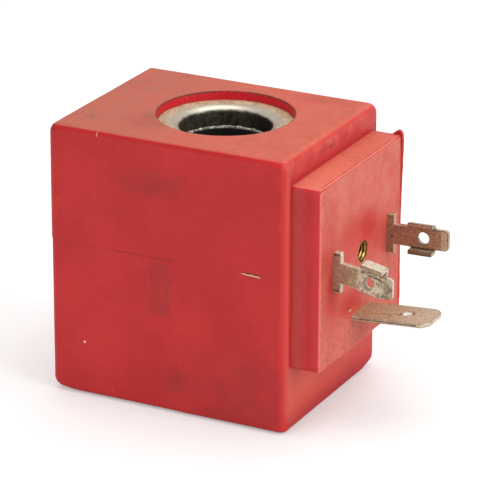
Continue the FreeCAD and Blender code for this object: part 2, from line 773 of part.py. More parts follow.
def make_lead_set(name, side, foot, terminal):
    """A lead, its insulating sleeve and its solder joint."""
    route = lead_route(side, foot)
    radius = d.lead_radius.value
    height = d.solder_height.value
    lead = tube_along(route, radius)
    sleeve_start = Vector(route[2].x, route[2].y, winding_top.value)
    sleeve_end = route[5] + Vector(0, 0, height)
    sleeve_route = [sleeve_start, route[3], route[4], sleeve_end]
    sleeve = tube_along(sleeve_route, radius + d.sleeve_wall.value).cut(lead)
    foot_of_joint = route[5] - Vector(0, 0, height)
    joint = Part.makeCone(d.solder_radius.value, radius + d.sleeve_wall.value, 2 * height, foot_of_joint)
    joint = joint.cut([lead, terminal.Shape])
    return [add_solid(name + "_lead", lead),
            add_solid(name + "_lead_sleeve", sleeve),
            add_solid(name + "_solder_joint", joint)]


shell = make_shell()
pieces = [make_bobbin()]
pieces.append(make_ring("winding", tube_radius, winding_radius, winding_bottom, winding_top))
pieces.append(make_ring("winding_tape", winding_radius, winding_radius + d.tape_thickness,
                        winding_bottom, winding_top))
pieces.append(make_upper_collar())
pieces.append(make_lower_collar())
pieces.append(make_yoke())
pieces.append(make_carrier())
pieces.append(make_insert())
left = make_live_terminal("left_live_terminal", -1, d.left_slope, both_wings=False)
right = make_live_terminal("right_live_terminal", 1, d.right_slope, both_wings=True)
pieces += [left, right]
pieces.append(make_earth_terminal())
pieces.append(make_rivet())
pieces += make_lead_set("start", 1, start_place, right)
pieces += make_lead_set("finish", -1, finish_place, left)

# The moulding fills every space that the pieces inside leave, face to face with them.
doc.recompute()
inside = doc.addObject("Part::Compound", "moulded_in")
inside.Links = pieces
housing = doc.addObject("Part::Cut", "housing")
housing.Label = "housing"
housing.Base = shell
housing.Tool = inside
doc.recompute()

for item in doc.Objects:
    if "Invalid" in item.State or "Error" in item.State:
        raise RuntimeError(f"{item.Label} failed: {item.State}")

os.makedirs("parts", exist_ok=True)
for piece in [housing] + pieces:
    shape = piece.Shape
    if shape.isNull() or not shape.isValid() or not shape.Solids:
        raise RuntimeError(f"{piece.Label} has no valid solid")
    print(f"{piece.Label}: {len(shape.Solids)} solid, {shape.Volume:.2f} mm3")
    shape.exportStep(f"parts/{piece.Label}.step")
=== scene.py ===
from math import atan, atan2, cos, pi, radians, sin, tan

import bmesh
import bpy
from mathutils import Matrix, Vector, noise


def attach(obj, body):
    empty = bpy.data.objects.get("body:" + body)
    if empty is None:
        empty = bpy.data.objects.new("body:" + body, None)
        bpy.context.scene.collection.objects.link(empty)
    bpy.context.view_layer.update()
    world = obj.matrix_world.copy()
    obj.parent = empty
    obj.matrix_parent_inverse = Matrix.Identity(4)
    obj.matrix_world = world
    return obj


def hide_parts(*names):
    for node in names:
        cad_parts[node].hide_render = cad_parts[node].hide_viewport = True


# Encapsulated solenoid valve coil. The frame is in metres; the sizes below are in millimetres.
MM = 0.001
NOISE_SEED = 7

# An uneven direction, to put a boolean's points, edges and faces in the same order each run.
SORT_WAY = Vector((1, 0.3713, 0.6177))

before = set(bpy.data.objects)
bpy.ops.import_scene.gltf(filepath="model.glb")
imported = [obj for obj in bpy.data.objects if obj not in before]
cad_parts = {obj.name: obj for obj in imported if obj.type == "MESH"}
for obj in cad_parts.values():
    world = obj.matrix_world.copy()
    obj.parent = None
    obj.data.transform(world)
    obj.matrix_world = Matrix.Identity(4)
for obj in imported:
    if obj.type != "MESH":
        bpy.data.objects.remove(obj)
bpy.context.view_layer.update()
bpy.context.scene.view_settings.view_transform = "Standard"
noise.seed_set(NOISE_SEED)

# Camera, as fitted to the photo.
CAMERA_AZIMUTH = 26.78
CAMERA_ELEVATION = 21.07
CAMERA_ROLL = 0.25
CAMERA_DISTANCE = 426.78
CAMERA_TARGET = (27.17, -45.3, 40.28)
CAMERA_LENS = 238.38
SENSOR_WIDTH = 36

# Lamps, in metres and watts: place, size and power. All point at the middle of the block.
LAMPS = {
    "top_softbox": ((0.05, 0.15, 0.8), (0.7, 0.7), 3.2),
    "front_softbox": ((-0.35, -0.95, 0.45), (0.9, 0.7), 2.15),
    "right_softbox": ((0.8, -0.1, 0.35), (0.5, 0.6), 4.15),
}
LAMP_TARGET = (0, 0, 0.02)
WORLD_STRENGTH = 0.66
TABLE_TONE = 0.66
TABLE_GLOW = 0.3
TABLE_REACH = 3
TABLE_DROP = 0.0002

# Moulded block.
BODY_BACK = -20.55
BODY_FRONT = 17.6
BODY_CENTRE = (BODY_BACK + BODY_FRONT) / 2
BODY_HALF_LENGTH = (BODY_FRONT - BODY_BACK) / 2
BODY_HALF_WIDTH = 15.2
BODY_HEIGHT = 41
CORNER_RADIUS = 1.25
TOP_RADIUS = 1.5
NEAR_TOP_RADIUS = 1
BOTTOM_RADIUS = 0.85
FAR_BOTTOM_RADIUS = 1.7
LEAST_BEND = 0.04
PARTING_HEIGHT = 23.4
PARTING_STEP = 0.08
GOUGE_HEIGHT = 23.45
RECESS_RADIUS = 10
RECESS_EDGE = 0.12
RING_X = 0.12
RING_Y = 0.35
COLLAR_TOP = 39.7
YOKE_TOP = 38.7
YOKE_BOTTOM = 1.2
BUSH_FLANGE_RADIUS = 9.6
ROOM_HALF_LENGTH = 17
ROOM_HALF_WIDTH = 13.45
ROOM_SHIFT = -1.7

# Connector base.
BASE_FACE = 22.1
BASE_HALF_WIDTH = 13.6
BASE_HALF_HEIGHT = 13.75
BASE_CENTRE = 23.45
BASE_EDGE_RADIUS = 0.3
BASE_CORNER_RADIUS = 0.55
INSERT_Y = 0.5
INSERT_NOSE_RADIUS = 1.65
INSERT_RADIUS = 1.95
THREAD_PITCH = 0.5
THREAD_DEPTH = 5.5
THREAD_MOUTH = 1.52

# Upper collar.
COLLAR_BORE_RADIUS = 6.7
COLLAR_SLEEVE_RADIUS = 7.68
COLLAR_END = 36.52
COLLAR_LIP_REACH = 1.7
COLLAR_LIP_FALL = 0.95

# Live terminals. Places along the blade are counted from the base's face.
LIVE_PLACE = 9
LIVE_HEIGHT = 23.55
LIVE_SHEET = 0.76
LIVE_BAR_DEPTH = 1.2
LIVE_HALF_BAR = 3
LIVE_WING_START = 3.75
LIVE_WING_END = 7.5
LIVE_TIP = 9.7
LIVE_TIP_CORNER = 0.55
LIVE_HALF_BLADE = 1.55
LIVE_HOLE_PLACE = 5.8
LIVE_HOLE_HEIGHT = 0.92
LIVE_LEG_END = 14.2
LIVE_HALF_LEG = 2
WING_SHEET = 0.66
WING_BEND = 0.4

# Earth blade.
EARTH_HEIGHT = 14.52
EARTH_HALF_WIDTH = 3.15
EARTH_SHEET = 0.65
EARTH_LENGTH = 11.9
EARTH_CHAMFER = 1.1
EARTH_RISE = 0.075
EARTH_ROLL = 0.6
EARTH_HOLE_PLACE = 7.6
EARTH_HOLE_Y = 0.2
EARTH_HOLE_RADIUS = 0.85

WIRE_PITCH = 0.32


# Materials


def shade(colour, share):
    """A colour made darker or lighter."""
    return tuple(part * share for part in colour)


class Shader:
    """A node material with short calls for its nodes. Its tone is the colour painted so far."""

    def __init__(self, name):
        self.material = bpy.data.materials.new(name)
        self.material.use_nodes = True
        self.tree = self.material.node_tree
        self.surface = self.tree.nodes["Principled BSDF"]
        self.tone = None
        coordinates = self.node("TexCoord", {}, "Object")
        self.place = self.node("VectorMath", {0: coordinates, "Scale": 1 / MM}, operation="SCALE")
        self.x, self.y, self.z = self.split(self.place)
        self.facing_x, self.facing_y, self.facing_z = self.split(self.node("NewGeometry", {}, "Normal"))

    def put(self, value, socket):
        """Link an output to the socket, or set it to a constant."""
        if isinstance(value, bpy.types.NodeSocket):
            self.tree.links.new(value, socket)
        elif socket.type == "RGBA":
            socket.default_value = (*value, 1)
        else:
            socket.default_value = value

    def node(self, kind, inputs, output=0, **settings):
        """Add a node with its settings and inputs, and return one of its outputs."""
        node = self.tree.nodes.new("ShaderNode" + kind)
        for name, value in settings.items():
            setattr(node, name, value)
        for name, value in inputs.items():
            self.put(value, node.inputs[name])
        return node.outputs[output]

    def split(self, vector):
        """The three parts of a vector."""
        node = self.tree.nodes.new("ShaderNodeSeparateXYZ")
        self.put(vector, node.inputs[0])
        return node.outputs

    def set(self, name, value):
        """Set an input of the surface."""
        self.put(value, self.surface.inputs[name])

    def math(self, operation, *values):
        """One step of arithmetic."""
        return self.node("Math", dict(enumerate(values)), operation=operation)

    def plus(self, a, b):
        """The sum of two values."""
        return self.math("ADD", a, b)

    def minus(self, a, b):
        """The difference of two values."""
        return self.math("SUBTRACT", a, b)

    def chain(self, operation, first, *others):
        """Arithmetic on several values in turn."""
        for value in others:
            first = self.math(operation, first, value)
        return first

    def times(self, *values):
        """The product of several values."""
        return self.chain("MULTIPLY", *values)

    def most(self, *values):
        """The largest of several values."""
        return self.chain("MAXIMUM", *values)

    def ramp(self, value, low, high, to_low=0, to_high=1):
        """A smooth step of the value between two levels."""
        return self.node("MapRange", {"Value": value, "From Min": low, "From Max": high,
                                      "To Min": to_low, "To Max": to_high}, interpolation_type="SMOOTHSTEP")

    def where(self, **bands):
        """The product of smooth steps of measures: (0 at, 1 at), or (0 at, 1 at, 1 at, 0 at)."""
        steps = []
        for name, band in bands.items():
            value = getattr(self, name)
            steps.append(self.ramp(value, *band[:2]))
            if len(band) == 4:
                steps.append(self.ramp(value, band[3], band[2]))
        return self.times(*steps)

    def line(self, value, centre, near, far):
        """1 close to a centre and 0 beyond a distance on both sides."""
        return self.ramp(self.math("ABSOLUTE", self.minus(value, centre)), far, near)

    def off_axis(self, u, centre_u, v, centre_v):
        """The distance from an axis."""
        off_u = self.minus(u, centre_u)
        off_v = self.minus(v, centre_v)
        return self.math("SQRT", self.plus(self.times(off_u, off_u), self.times(off_v, off_v)))

    def ragged(self, value, cloud, amount):
        """A value made uneven by noise."""
        return self.plus(value, self.times(self.minus(cloud, 0.5), amount))

    def moved(self, stretch, shift):
        """The place in millimetres, stretched and shifted."""
        return self.node("Mapping", {"Vector": self.place, "Location": shift, "Scale": stretch})

    def noise(self, scale, detail, roughness, shift=(0, 0, 0), stretch=(1, 1, 1)):
        """Noise with its scale for each millimetre."""
        return self.node("TexNoise", {"Vector": self.moved(stretch, shift), "Scale": scale,
                                      "Detail": detail, "Roughness": roughness})

    def spots(self, scale, size, shift=(0, 0, 0)):
        """Scattered round spots: 1 inside of a spot."""
        away = self.node("TexVoronoi", {"Vector": self.moved((1, 1, 1), shift), "Scale": scale}, "Distance")
        return self.ramp(away, size, size * 0.7)

    def blob(self, centre, reach, soft=0.6):
        """1 near a centre, falling to 0 at the reach in each direction."""
        away = self.node("VectorMath", {0: self.place, 1: centre}, operation="SUBTRACT")
        scaled = self.node("VectorMath", {0: away, 1: reach}, operation="DIVIDE")
        return self.ramp(self.node("VectorMath", {0: scaled}, "Value", operation="LENGTH"), 1, 1 - soft)

    def mix(self, factor, a, b):
        """A blend of two colours."""
        return self.node("Mix", {0: factor, 6: a, 7: b}, 2, data_type="RGBA")

    def paint(self, colour, *masks, **bands):
        """Lay a colour over the tone by the product of the masks and of where(bands)."""
        if bands:
            masks = (*masks, self.where(**bands))
        self.tone = self.mix(self.times(*masks), self.tone, colour)

    def done(self, *layers, **inputs):
        """Set the inputs and the relief, in layers of (height, depth); return the material."""
        self.set("Base Color", self.tone)
        for name, value in inputs.items():
            self.set(name.replace("_", " "), value)
        below = {}
        for height, depth in layers:
            inputs = {"Strength": 1, "Distance": depth * MM, "Height": height, **below}
            below = {"Normal": self.node("Bump", inputs)}
        self.set("Normal", below["Normal"])
        return self.material


def paint_edges_and_dust(s):
    """Brighter red on the rounded edges, partly painted highlight and partly edges rubbed clean, a painted
    highlight on the top edge over the block's end, then dust on the top, on the base's top and on the
    block's end, kept off the painted shade at the foot.
    """
    flattest = s.most(*(s.math("ABSOLUTE", way) for way in (s.facing_x, s.facing_y, s.facing_z)))
    # Rounded edges painted a brighter red: partly painted highlight, partly edges rubbed clean.
    s.paint((0.6, 0.03, 0.03), s.ramp(flattest, 0.995, 0.9), 0.6)
    top_band = s.where(facing_z=(0.12, 0.35, 0.9, 0.98))
    s.paint(s.mix(s.ramp(s.x, 8, 16), (0.43, 0.004, 0.006), (0.53, 0.006, 0.01)), top_band, 0.9)
    # Painted highlight on the top edge's rounding where it turns towards the block's end.
    s.paint((0.57, 0.05, 0.038), top_band, s.ramp(s.cloud, 0.3, 0.7, 0.55, 0.9),
            facing_x=(0.15, 0.45), z=(38.8, 39.2))
    dust = s.ramp(s.cloud, 0.25, 0.75, 0.6, 1)
    s.paint((0.58, 0.165, 0.098), s.up, dust, 0.72)
    s.paint((0.36, 0.115, 0.075), s.up, s.ramp(s.cloud, 0.25, 0.7, 0.5, 1), 0.68,
            x=(10, -16), z=(40, 40.5))
    s.paint((0.76, 0.175, 0.115), s.up, s.ramp(s.y, -12, 10, 0.6, 0.25), z=(38.5, 38))
    # Dust is kept off the lowest band, so that the painted shade at the foot stays dark.
    clear_of_foot_shade = s.ramp(s.plus(s.z, s.times(s.y, -0.12)), -0.6, 6.5)
    beside_base = s.where(y=(-13.5, -13.9), z=(9.3, 9.9, 37, 37.6))
    s.paint((0.62, 0.15, 0.085), s.outward, clear_of_foot_shade, dust, s.minus(1, beside_base), 0.55,
            x=(18.6, 18.2), z=(36.5, 34))


def paint_shoulder(s):
    """The block's end: smeared above the base, with painted shade down in the corner by the base and at the
    foot.
    """
    # Painted shade darkening the end face down towards the base's top, then a dusty smear higher up.
    level = s.mix(s.ramp(s.z, 38.4, 37.1), (0.44, 0.036, 0.034), (0.38, 0.016, 0.024))
    level = s.mix(s.where(cloud=(0.35, 0.65), z=(37.9, 38.9)), level, (0.53, 0.066, 0.052))
    s.paint(level, 0.9, facing_x=(0.6, 0.9), x=(18.6, 18.2), z=(36.9, 37.1))
    s.paint((0.05, 0.06, 0.045), s.blob((17.6, -1.2, 39.25), (2, 1.15, 0.24)), 0.9, grain=(0.34, 0.5))
    s.paint((0.56, 0.36, 0.29), s.blob((17.8, -0.2, 39.9), (2, 2.6, 0.55), 0.8), 0.3, grain=(0.45, 0.62))
    # Painted shade: the foot of the faces towards +X is painted a darker red.
    s.paint((0.3, 0.02, 0.028), s.outward, 0.55, z=(3.4, 0.3))


def paint_plug_face(s):
    """The connector's face: worn pale, except in patches that are still fresh red."""
    patches = ((2, 27, 5, 4.2, 0.75, 1), (-3.5, 26.6, 6.5, 4.2, 0.85, 0.65),
               (-10.5, 27, 4.5, 9, 0.85, 0.55), (4, 23, 5, 4, 0.85, 0.5),
               (-9.8, 20.6, 3.6, 6.2, 0.85, 1), (-3.5, 17.2, 5.4, 3.2, 0.85, 1))
    fresh = s.most(*(s.times(s.blob((22, y, z), (2, wide, high), soft), share)
                     for y, z, wide, high, soft, share in patches))
    worn = s.ramp(s.noise(0.22, 4, 0.6, (5, 50, 9)), 0.3, 0.72, 0.5, 1)
    pale = s.mix(s.ramp(s.z, 26, 34), (0.66, 0.185, 0.12), (0.66, 0.225, 0.155))
    s.paint(pale, s.plug_face, worn, s.minus(1, s.times(fresh, 0.92)), 0.68)


def paint_base_edges(s):
    """Flash along the base's edges, as two dark lines of painted shade beside a ridge with a painted
    highlight, painted highlights on the face's near and bottom edges, and rubbed edges.
    """
    broken = s.ramp(s.noise(0.5, 3, 0.6, (8, 8, 1)), 0.35, 0.6, 0.3, 1)
    on_top = s.times(s.up, s.line(s.x, 21.68, 0.05, 0.12), s.ramp(s.z, 38.2, 38), broken)
    on_face = s.times(s.ramp(s.x, 21.9, 22), s.line(s.z, 37.03, 0.05, 0.11))
    along_top = (-13.5, -13.1, 10.4, 11.4)
    # Painted highlight on the rounded top edge between the two lines.
    s.paint((0.74, 0.215, 0.165), 0.5, x=(21.74, 21.8), z=(36.78, 36.84), y=along_top)
    # Painted shade: two dark red lines in the creases on both sides of the flash ridge.
    s.paint((0.42, 0.008, 0.01), s.most(on_top, on_face), 0.95, y=along_top)
    s.paint((0.61, 0.036, 0.04), 0.75, y=(-13.45, -13.54), x=(20.3, 21.7), z=(9.9, 11))
    # Painted highlights: pale pink lines on the face's near upright edge and on its bottom edge.
    s.paint((0.78, 0.25, 0.2), 0.5, x=(21.88, 22), y=(-13.12, -13.3), z=(37, 36.6))
    s.paint((0.74, 0.26, 0.21), 0.5, x=(21.7, 21.8), z=(10.05, 9.9))
    s.paint((0.5, 0.035, 0.034), 0.9, x=(21.2, 21.4), y=(12.85, 13.1))


def paint_grime(s):
    """Brown grime in soft clouds and smudges, and in fine specks."""
    s.paint((0.24, 0.075, 0.04), s.ramp(s.noise(0.2, 5, 0.65, (90, 12, 44)), 0.5, 0.76), s.up, 0.4)
    smudges = s.most(*(s.blob(centre, reach, soft) for centre, reach, soft in (
        ((1.5, -15.2, 4.5), (6.5, 2, 4), 0.9), ((9, -15.2, 1.2), (9, 2, 1.6), 0.9),
        ((-4, -15.2, 34.5), (9, 2, 3), 0.9), ((15, -15.2, 2.2), (2.5, 2, 1.8), 0.9),
        ((11, -15.2, 5), (13, 2, 10), 0.95), ((-8, -8, 41), (6, 5, 2), 0.9),
        ((9.5, 12, 41), (6, 2.6, 2), 0.9))))
    s.paint((0.17, 0.03, 0.026), smudges, s.ramp(s.cloud, 0.3, 0.7, 0.35, 1), 0.38)
    dark_areas = s.ramp(s.noise(0.6, 2, 0.5, (8, 3, 71)), 0.45, 0.62)
    s.paint((0.1, 0.04, 0.03), s.spots(1.9, 0.2), dark_areas, 0.55)
    pale_areas = s.ramp(s.noise(0.5, 2, 0.5, (3, 63, 1)), 0.52, 0.62)
    s.paint((0.72, 0.28, 0.22), s.spots(0.9, 0.1, (40, 2, 9)), pale_areas, 0.28)
    s.paint((0.34, 0.07, 0.038), s.plug_face, s.ramp(s.noise(3.4, 2, 0.6, (1, 7, 3)), 0.5, 0.58),
            s.ramp(s.noise(1.3, 3, 0.7, (4, 44, 14)), 0.35, 0.65, 0.4, 1),
            s.ramp(s.plus(s.z, s.y), 8, 30, 1, 0.55), 0.8)
    s.paint((0.62, 0.4, 0.27), s.blob((22.1, -3.4, 15.8), (1, 0.75, 0.17), 0.5), grain=(0.4, 0.55))
    s.paint((0.28, 0.07, 0.04), s.up, 0.26, grain=(0.52, 0.66))
    s.paint((0.16, 0.02, 0.02), 0.12, grain=(0.54, 0.68))


def paint_damage(s):
    """A gouge down to the filler, a chip, a nick in the top edge and soot on a corner."""
    lean = s.plus(s.z, s.times(s.minus(s.x, 12.1), 0.052))
    course = s.ragged(lean, s.noise(1.6, 3, 0.6, (6, 1, 1)), 0.35)
    along = s.times(s.near_face, s.where(x=(10.4, 11, 13.2, 13.8)))
    s.paint((0.075, 0.022, 0.014), along, s.line(course, GOUGE_HEIGHT + 0.12, 0.16, 0.26),
            s.ramp(s.grain, 0.35, 0.5, 0.5, 1), 0.8)
    s.paint((0.8, 0.5, 0.29), along, s.line(course, GOUGE_HEIGHT, 0.05, 0.12))
    s.paint((0.84, 0.66, 0.46), s.blob((-14.9, -15.2, 8.2), (0.26, 1, 0.2), 0.4))
    nick = s.blob((-12.45, -15.1, 40.4), (0.12, 1.2, 0.42), 0.4)
    s.paint((0.72, 0.32, 0.22), nick, s.ramp(s.noise(3, 2, 0.5), 0.3, 0.45), 0.75)
    s.paint((0.07, 0.03, 0.02), s.blob((-20.2, -15, 40.2), (1.6, 1.6, 1.2), 0.8), 0.75, grain=(0.44, 0.6))


def paint_corner(s):
    """Dirt packed in the corner beside the base, and a painted highlight on the block's upright edge."""
    beside = s.where(z=(9, 9.8, 36.8, 37.6), x=(20.6, 18.3))
    on_base = s.times(beside, s.where(y=(-13.5, -13.54), x=(17.7, 17.8)))
    on_end = s.times(beside, s.where(y=(-13.5, -13.9), x=(17.4, 17.62)))
    s.paint((0.5, 0.066, 0.064), on_base, s.ramp(s.cloud, 0.3, 0.7, 0.3, 0.7))
    s.paint((0.2, 0.075, 0.06), s.most(s.times(on_base, 0.4), s.times(on_end, 0.3)), 0.6, grain=(0.42, 0.6))
    # Painted highlight: a paler red down the block's rounded upright edge beside the base.
    s.paint((0.55, 0.07, 0.058), 0.85, x=(17.12, 17.5), y=(-13.95, -14.2), z=(1, 4, 38.4, 39.2))


def paint_near_face(s):
    """The worn seam of the mould, and the ghost of a lifted patch."""
    seam = s.line(s.z, PARTING_HEIGHT, 0.03, 0.12)
    s.paint((0.14, 0.025, 0.025), s.near_face, seam, 0.75, x=(-13, -9.5, -1, 0))
    rub = s.ramp(s.noise(0.9, 3, 0.6, stretch=(3, 1, 0.35)), 0.35, 0.65, 0.2, 1)
    s.paint((0.2, 0.036, 0.032), s.near_face, rub, 0.45,
            x=(-4.15, -3.8, -1.05, -0.7), z=(14, 15.5, 22.4, 22.8))


def paint_recess(s):
    """The recess wall is clean, with a dark worn rim."""
    reach = s.off_axis(s.x, RING_X, s.y, RING_Y)
    inside = s.times(s.ramp(reach, RECESS_RADIUS + 0.07, RECESS_RADIUS + 0.03), s.ramp(s.z, 38, 38.4))
    s.paint((0.56, 0.006, 0.016), inside, 0.95)
    s.paint((0.055, 0.03, 0.016), s.line(reach, RECESS_RADIUS + 0.07, 0.05, 0.15),
            s.ramp(s.noise(1.6, 4, 0.7), 0.38, 0.55, 0.35, 1), 0.9, z=(40.7, 40.85))
    specks = s.ramp(s.noise(3.2, 2, 0.6), 0.56, 0.64)
    s.paint((0.1, 0.02, 0.02), inside, s.ramp(s.x, -4, -1, 1, 0.2), specks, 0.6)


def make_red():
    """The moulded red resin, dusty on top, with grime, scuffs and a worn connector face, and painted
    highlights on its edges and painted shade on the block's end and foot.
    """
    s = Shader("red_moulding")
    s.cloud = s.noise(0.45, 4, 0.65, (31, 7, 3))
    s.grain = s.noise(2.6, 3, 0.7)
    s.up = s.ramp(s.facing_z, 0.72, 0.88)
    s.outward = s.ramp(s.facing_x, 0.9, 0.995)
    s.plug_face = s.times(s.outward, s.ramp(s.x, 21.4, 21.8))
    s.near_face = s.where(facing_y=(-0.6, -0.9), y=(-14.9, -15))
    s.tone = s.mix(s.ramp(s.noise(0.11, 4, 0.6), 0.35, 0.7), (0.49, 0.021, 0.023), (0.56, 0.027, 0.027))
    for paint in (paint_edges_and_dust, paint_shoulder, paint_plug_face, paint_base_edges, paint_grime,
                  paint_damage, paint_corner, paint_near_face, paint_recess):
        paint(s)
    rough = s.plus(s.ramp(s.cloud, 0.2, 0.8, 0.42, 0.58), s.times(s.up, 0.12))
    moulded = s.noise(0.09, 2, 0.5, (3, 3, 3))
    return s.done((moulded, 0.4), (s.grain, 0.02), (s.noise(1.2, 3, 0.6), 0.03),
                  Roughness=rough, Specular_IOR_Level=0.28)


def make_metal(name, colour, dark, rough):
    """A dulled metal: two tones in clouds, and dark specks."""
    s = Shader(name)
    s.tone = colour
    s.paint(dark, s.ramp(s.noise(0.8, 5, 0.65), 0.35, 0.68), 0.5)
    s.paint(dark, s.ramp(s.noise(1.6, 4, 0.7, (12, 3, 8), (0.5, 1, 1.6)), 0.42, 0.66), 0.35)
    areas = s.ramp(s.noise(0.9, 2, 0.5, (4, 1, 6)), 0.45, 0.6)
    s.paint(shade(dark, 0.25), s.spots(2.4, 0.22), areas, 0.7)
    rough = s.ramp(s.noise(2, 4, 0.6, (9, 9, 2)), 0.3, 0.7, rough * 0.8, rough * 1.2)
    return s.done((s.noise(2.2, 4, 0.65), 0.03), (s.noise(0.5, 2, 0.5), 0.05), Metallic=1, Roughness=rough)


def fade_earth(s):
    """The earth blade grows paler outwards, with pale grain and brown freckles."""
    s.paint((0.68, 0.52, 0.38), 0.75, x=(23.5, 33))
    s.paint((0.74, 0.61, 0.43), 0.55, fine=(0.5, 0.6))
    s.paint((0.17, 0.105, 0.06), s.spots(2.9, 0.3, (3, 8, 1)), s.ramp(s.cloud, 0.2, 0.8, 0.4, 1), 0.7)


def wear_and_light_earth(s):
    """The wall of the punched hole, painted white as light towards the base and brown as shade further out,
    and a scored mark beside it.
    """
    # Painted light and shade on the hole's wall: white towards the base, brown further out.
    wall = s.blob((BASE_FACE + EARTH_HOLE_PLACE, EARTH_HOLE_Y, 15.1), (1.05, 1.05, 0.9), 0.1)
    s.pale = s.mix(wall, s.pale, s.mix(s.ramp(s.x, 29.75, 30.15), (0.98, 0.94, 0.86), (0.34, 0.13, 0.07)))
    scored = s.blob((BASE_FACE + 6.4, -0.4, 15.4), (0.5, 0.9, 1), 0.5)
    s.paint((0.12, 0.07, 0.04), scored, 0.9, fine=(0.45, 0.53))


def light_ledge(s):
    """The lower wing's upper side, which catches the light."""
    ledge = s.where(facing_z=(0.3, 0.6), z=(21.7, 21.4), x=(26.4, 26.7))
    s.pale = s.mix(s.times(ledge, s.ramp(s.fine, 0.35, 0.6, 1, 0.6)), s.pale, (0.98, 0.9, 0.68))


def wear_and_light_left(s):
    """Blotched tin on the hammered wing, a dull scraped tip and grimy ends of the T-bar."""
    # Painted highlight on the lower wing's upper side.
    light_ledge(s)
    under_wing = s.ramp(s.plus(s.z, s.times(s.x, 0.1)), 27.65, 27.35)
    outer = s.times(s.ramp(s.ragged(s.out, s.noise(0.9, 3, 0.6), 2.4), 3.4, 4.1), under_wing)
    blots = s.ramp(s.noise(1.1, 4, 0.65, (5, 2, 7), (1.2, 1, 1)), 0.42, 0.64)
    marks = s.mix(blots, (0.8, 0.7, 0.53), (0.36, 0.235, 0.14))
    marks = s.mix(s.times(s.ramp(s.fine, 0.5, 0.62), 0.4), marks, (0.24, 0.155, 0.09))
    s.paint(marks, outer, 0.92)
    s.paint((0.3, 0.2, 0.12), outer, s.ramp(s.grain, 0.4, 0.6, 0.3, 0.8), 0.65, out=(7.4, 8.8))
    low_right = s.ramp(s.minus(s.x, s.times(s.z, 0.8)), 11.4, 12.6)
    scrape = s.ramp(s.noise(1.5, 4, 0.7, (1, 6, 3), (1.4, 1, 0.7)), 0.5, 0.6)
    s.paint((0.11, 0.072, 0.042), outer, scrape, low_right, 0.85)
    s.paint((0.66, 0.53, 0.38), s.ramp(s.grain, 0.4, 0.6, 1, 0.3), 0.45, out=(1.5, 1.1))
    ends = s.most(s.ramp(s.z, 26.1, 26.4), s.ramp(s.z, 21.4, 21.1))
    s.paint((0.1, 0.07, 0.045), ends, 0.85, out=(1.3, 1.1), grain=(0.36, 0.48))


def wear_and_light_right(s):
    """A coined tip, a painted highlight on the lower wing's upper side, darker faces in the lower wing's
    fold and dark dots on the T-bar.
    """
    # Painted highlight on the lower wing's upper side.
    light_ledge(s)
    s.paint(s.mix(s.ramp(s.fine, 0.44, 0.6), (0.72, 0.61, 0.42), (0.38, 0.27, 0.16)), 0.95, out=(8.5, 8.76))
    # Darker on the faces under the lower wing's fold.
    s.paint((0.16, 0.095, 0.06), 0.75, z=(22.15, 21.7), out=(3.6, 4, 7.6, 7.9))
    dots = s.most(*(s.blob((BASE_FACE + out, 8.6, z), reach, 0.5) for out, z, reach in (
        (0.98, 26.5, (0.18, 1, 0.18)), (0.88, 23.3, (0.22, 1, 0.18)), (0.42, 26.5, (0.13, 1, 0.11)))))
    s.paint((0.035, 0.02, 0.014), dots, 0.95)


def make_tin(name, broad, narrow, axis, metallic, wear_and_light, under=None):
    """Tarnished tin: brown broad faces across an axis and paler cut edges, all speckled."""
    s = Shader(name)
    s.out = s.minus(s.x, BASE_FACE)
    s.grain = s.noise(3, 3, 0.75)
    s.fine = s.noise(5, 2, 0.6, (2, 5, 8))
    s.cloud = s.ramp(s.noise(1.3, 5, 0.7), 0.35, 0.65)
    s.tone = s.mix(s.cloud, shade(broad, 1.08), shade(broad, 0.78))
    if under is not None:
        under(s)
    s.paint(shade(broad, 0.5), 0.62, grain=(0.5, 0.6))
    s.paint(shade(broad, 0.35), 0.6, fine=(0.56, 0.66))
    s.pale = s.mix(s.ramp(s.noise(2.2, 3, 0.6, (3, 9, 1)), 0.35, 0.65), narrow, shade(narrow, 0.72))
    wear_and_light(s)
    facing = (s.facing_x, s.facing_y, s.facing_z)[axis]
    s.tone = s.mix(s.ramp(s.math("ABSOLUTE", facing), 0.75, 0.92), s.pale, s.tone)
    areas = s.ramp(s.noise(0.9, 2, 0.5, (4, 1, 6)), 0.45, 0.56)
    s.paint((0.055, 0.03, 0.018), s.spots(2.3, 0.24), areas, 0.85)
    return s.done((s.grain, 0.03), (s.noise(0.7, 3, 0.6), 0.08), Metallic=metallic,
                  Roughness=s.ramp(s.noise(2.5, 4, 0.6, (9, 9, 2)), 0.3, 0.7, 0.34, 0.55))


def make_edge_grime(name, bare, start, least, strength):
    """The rounded edges of a terminal: bare metal near the base, dark with dirt further out."""
    s = Shader(name)
    s.tone = s.mix(s.ramp(s.noise(2.2, 3, 0.6, (3, 9, 1)), 0.35, 0.65), bare, shade(bare, 0.72))
    broken = s.ramp(s.noise(1.5, 4, 0.7, (7, 21, 4)), 0.38, 0.54, least, 1)
    s.paint((0.075, 0.036, 0.018), broken, strength, x=(BASE_FACE + start, BASE_FACE + start + 0.5))
    return s.done((s.noise(3, 3, 0.7), 0.03), Metallic=0.1, Roughness=0.6, Specular_IOR_Level=0.2)


def make_plain(name, colour, rough):
    """A plain moulded or drawn material with a little grain."""
    s = Shader(name)
    s.tone = s.mix(s.ramp(s.noise(0.7, 4, 0.6), 0.3, 0.7), colour, shade(colour, 0.8))
    return s.done((s.noise(3, 3, 0.6), 0.01), Roughness=rough)


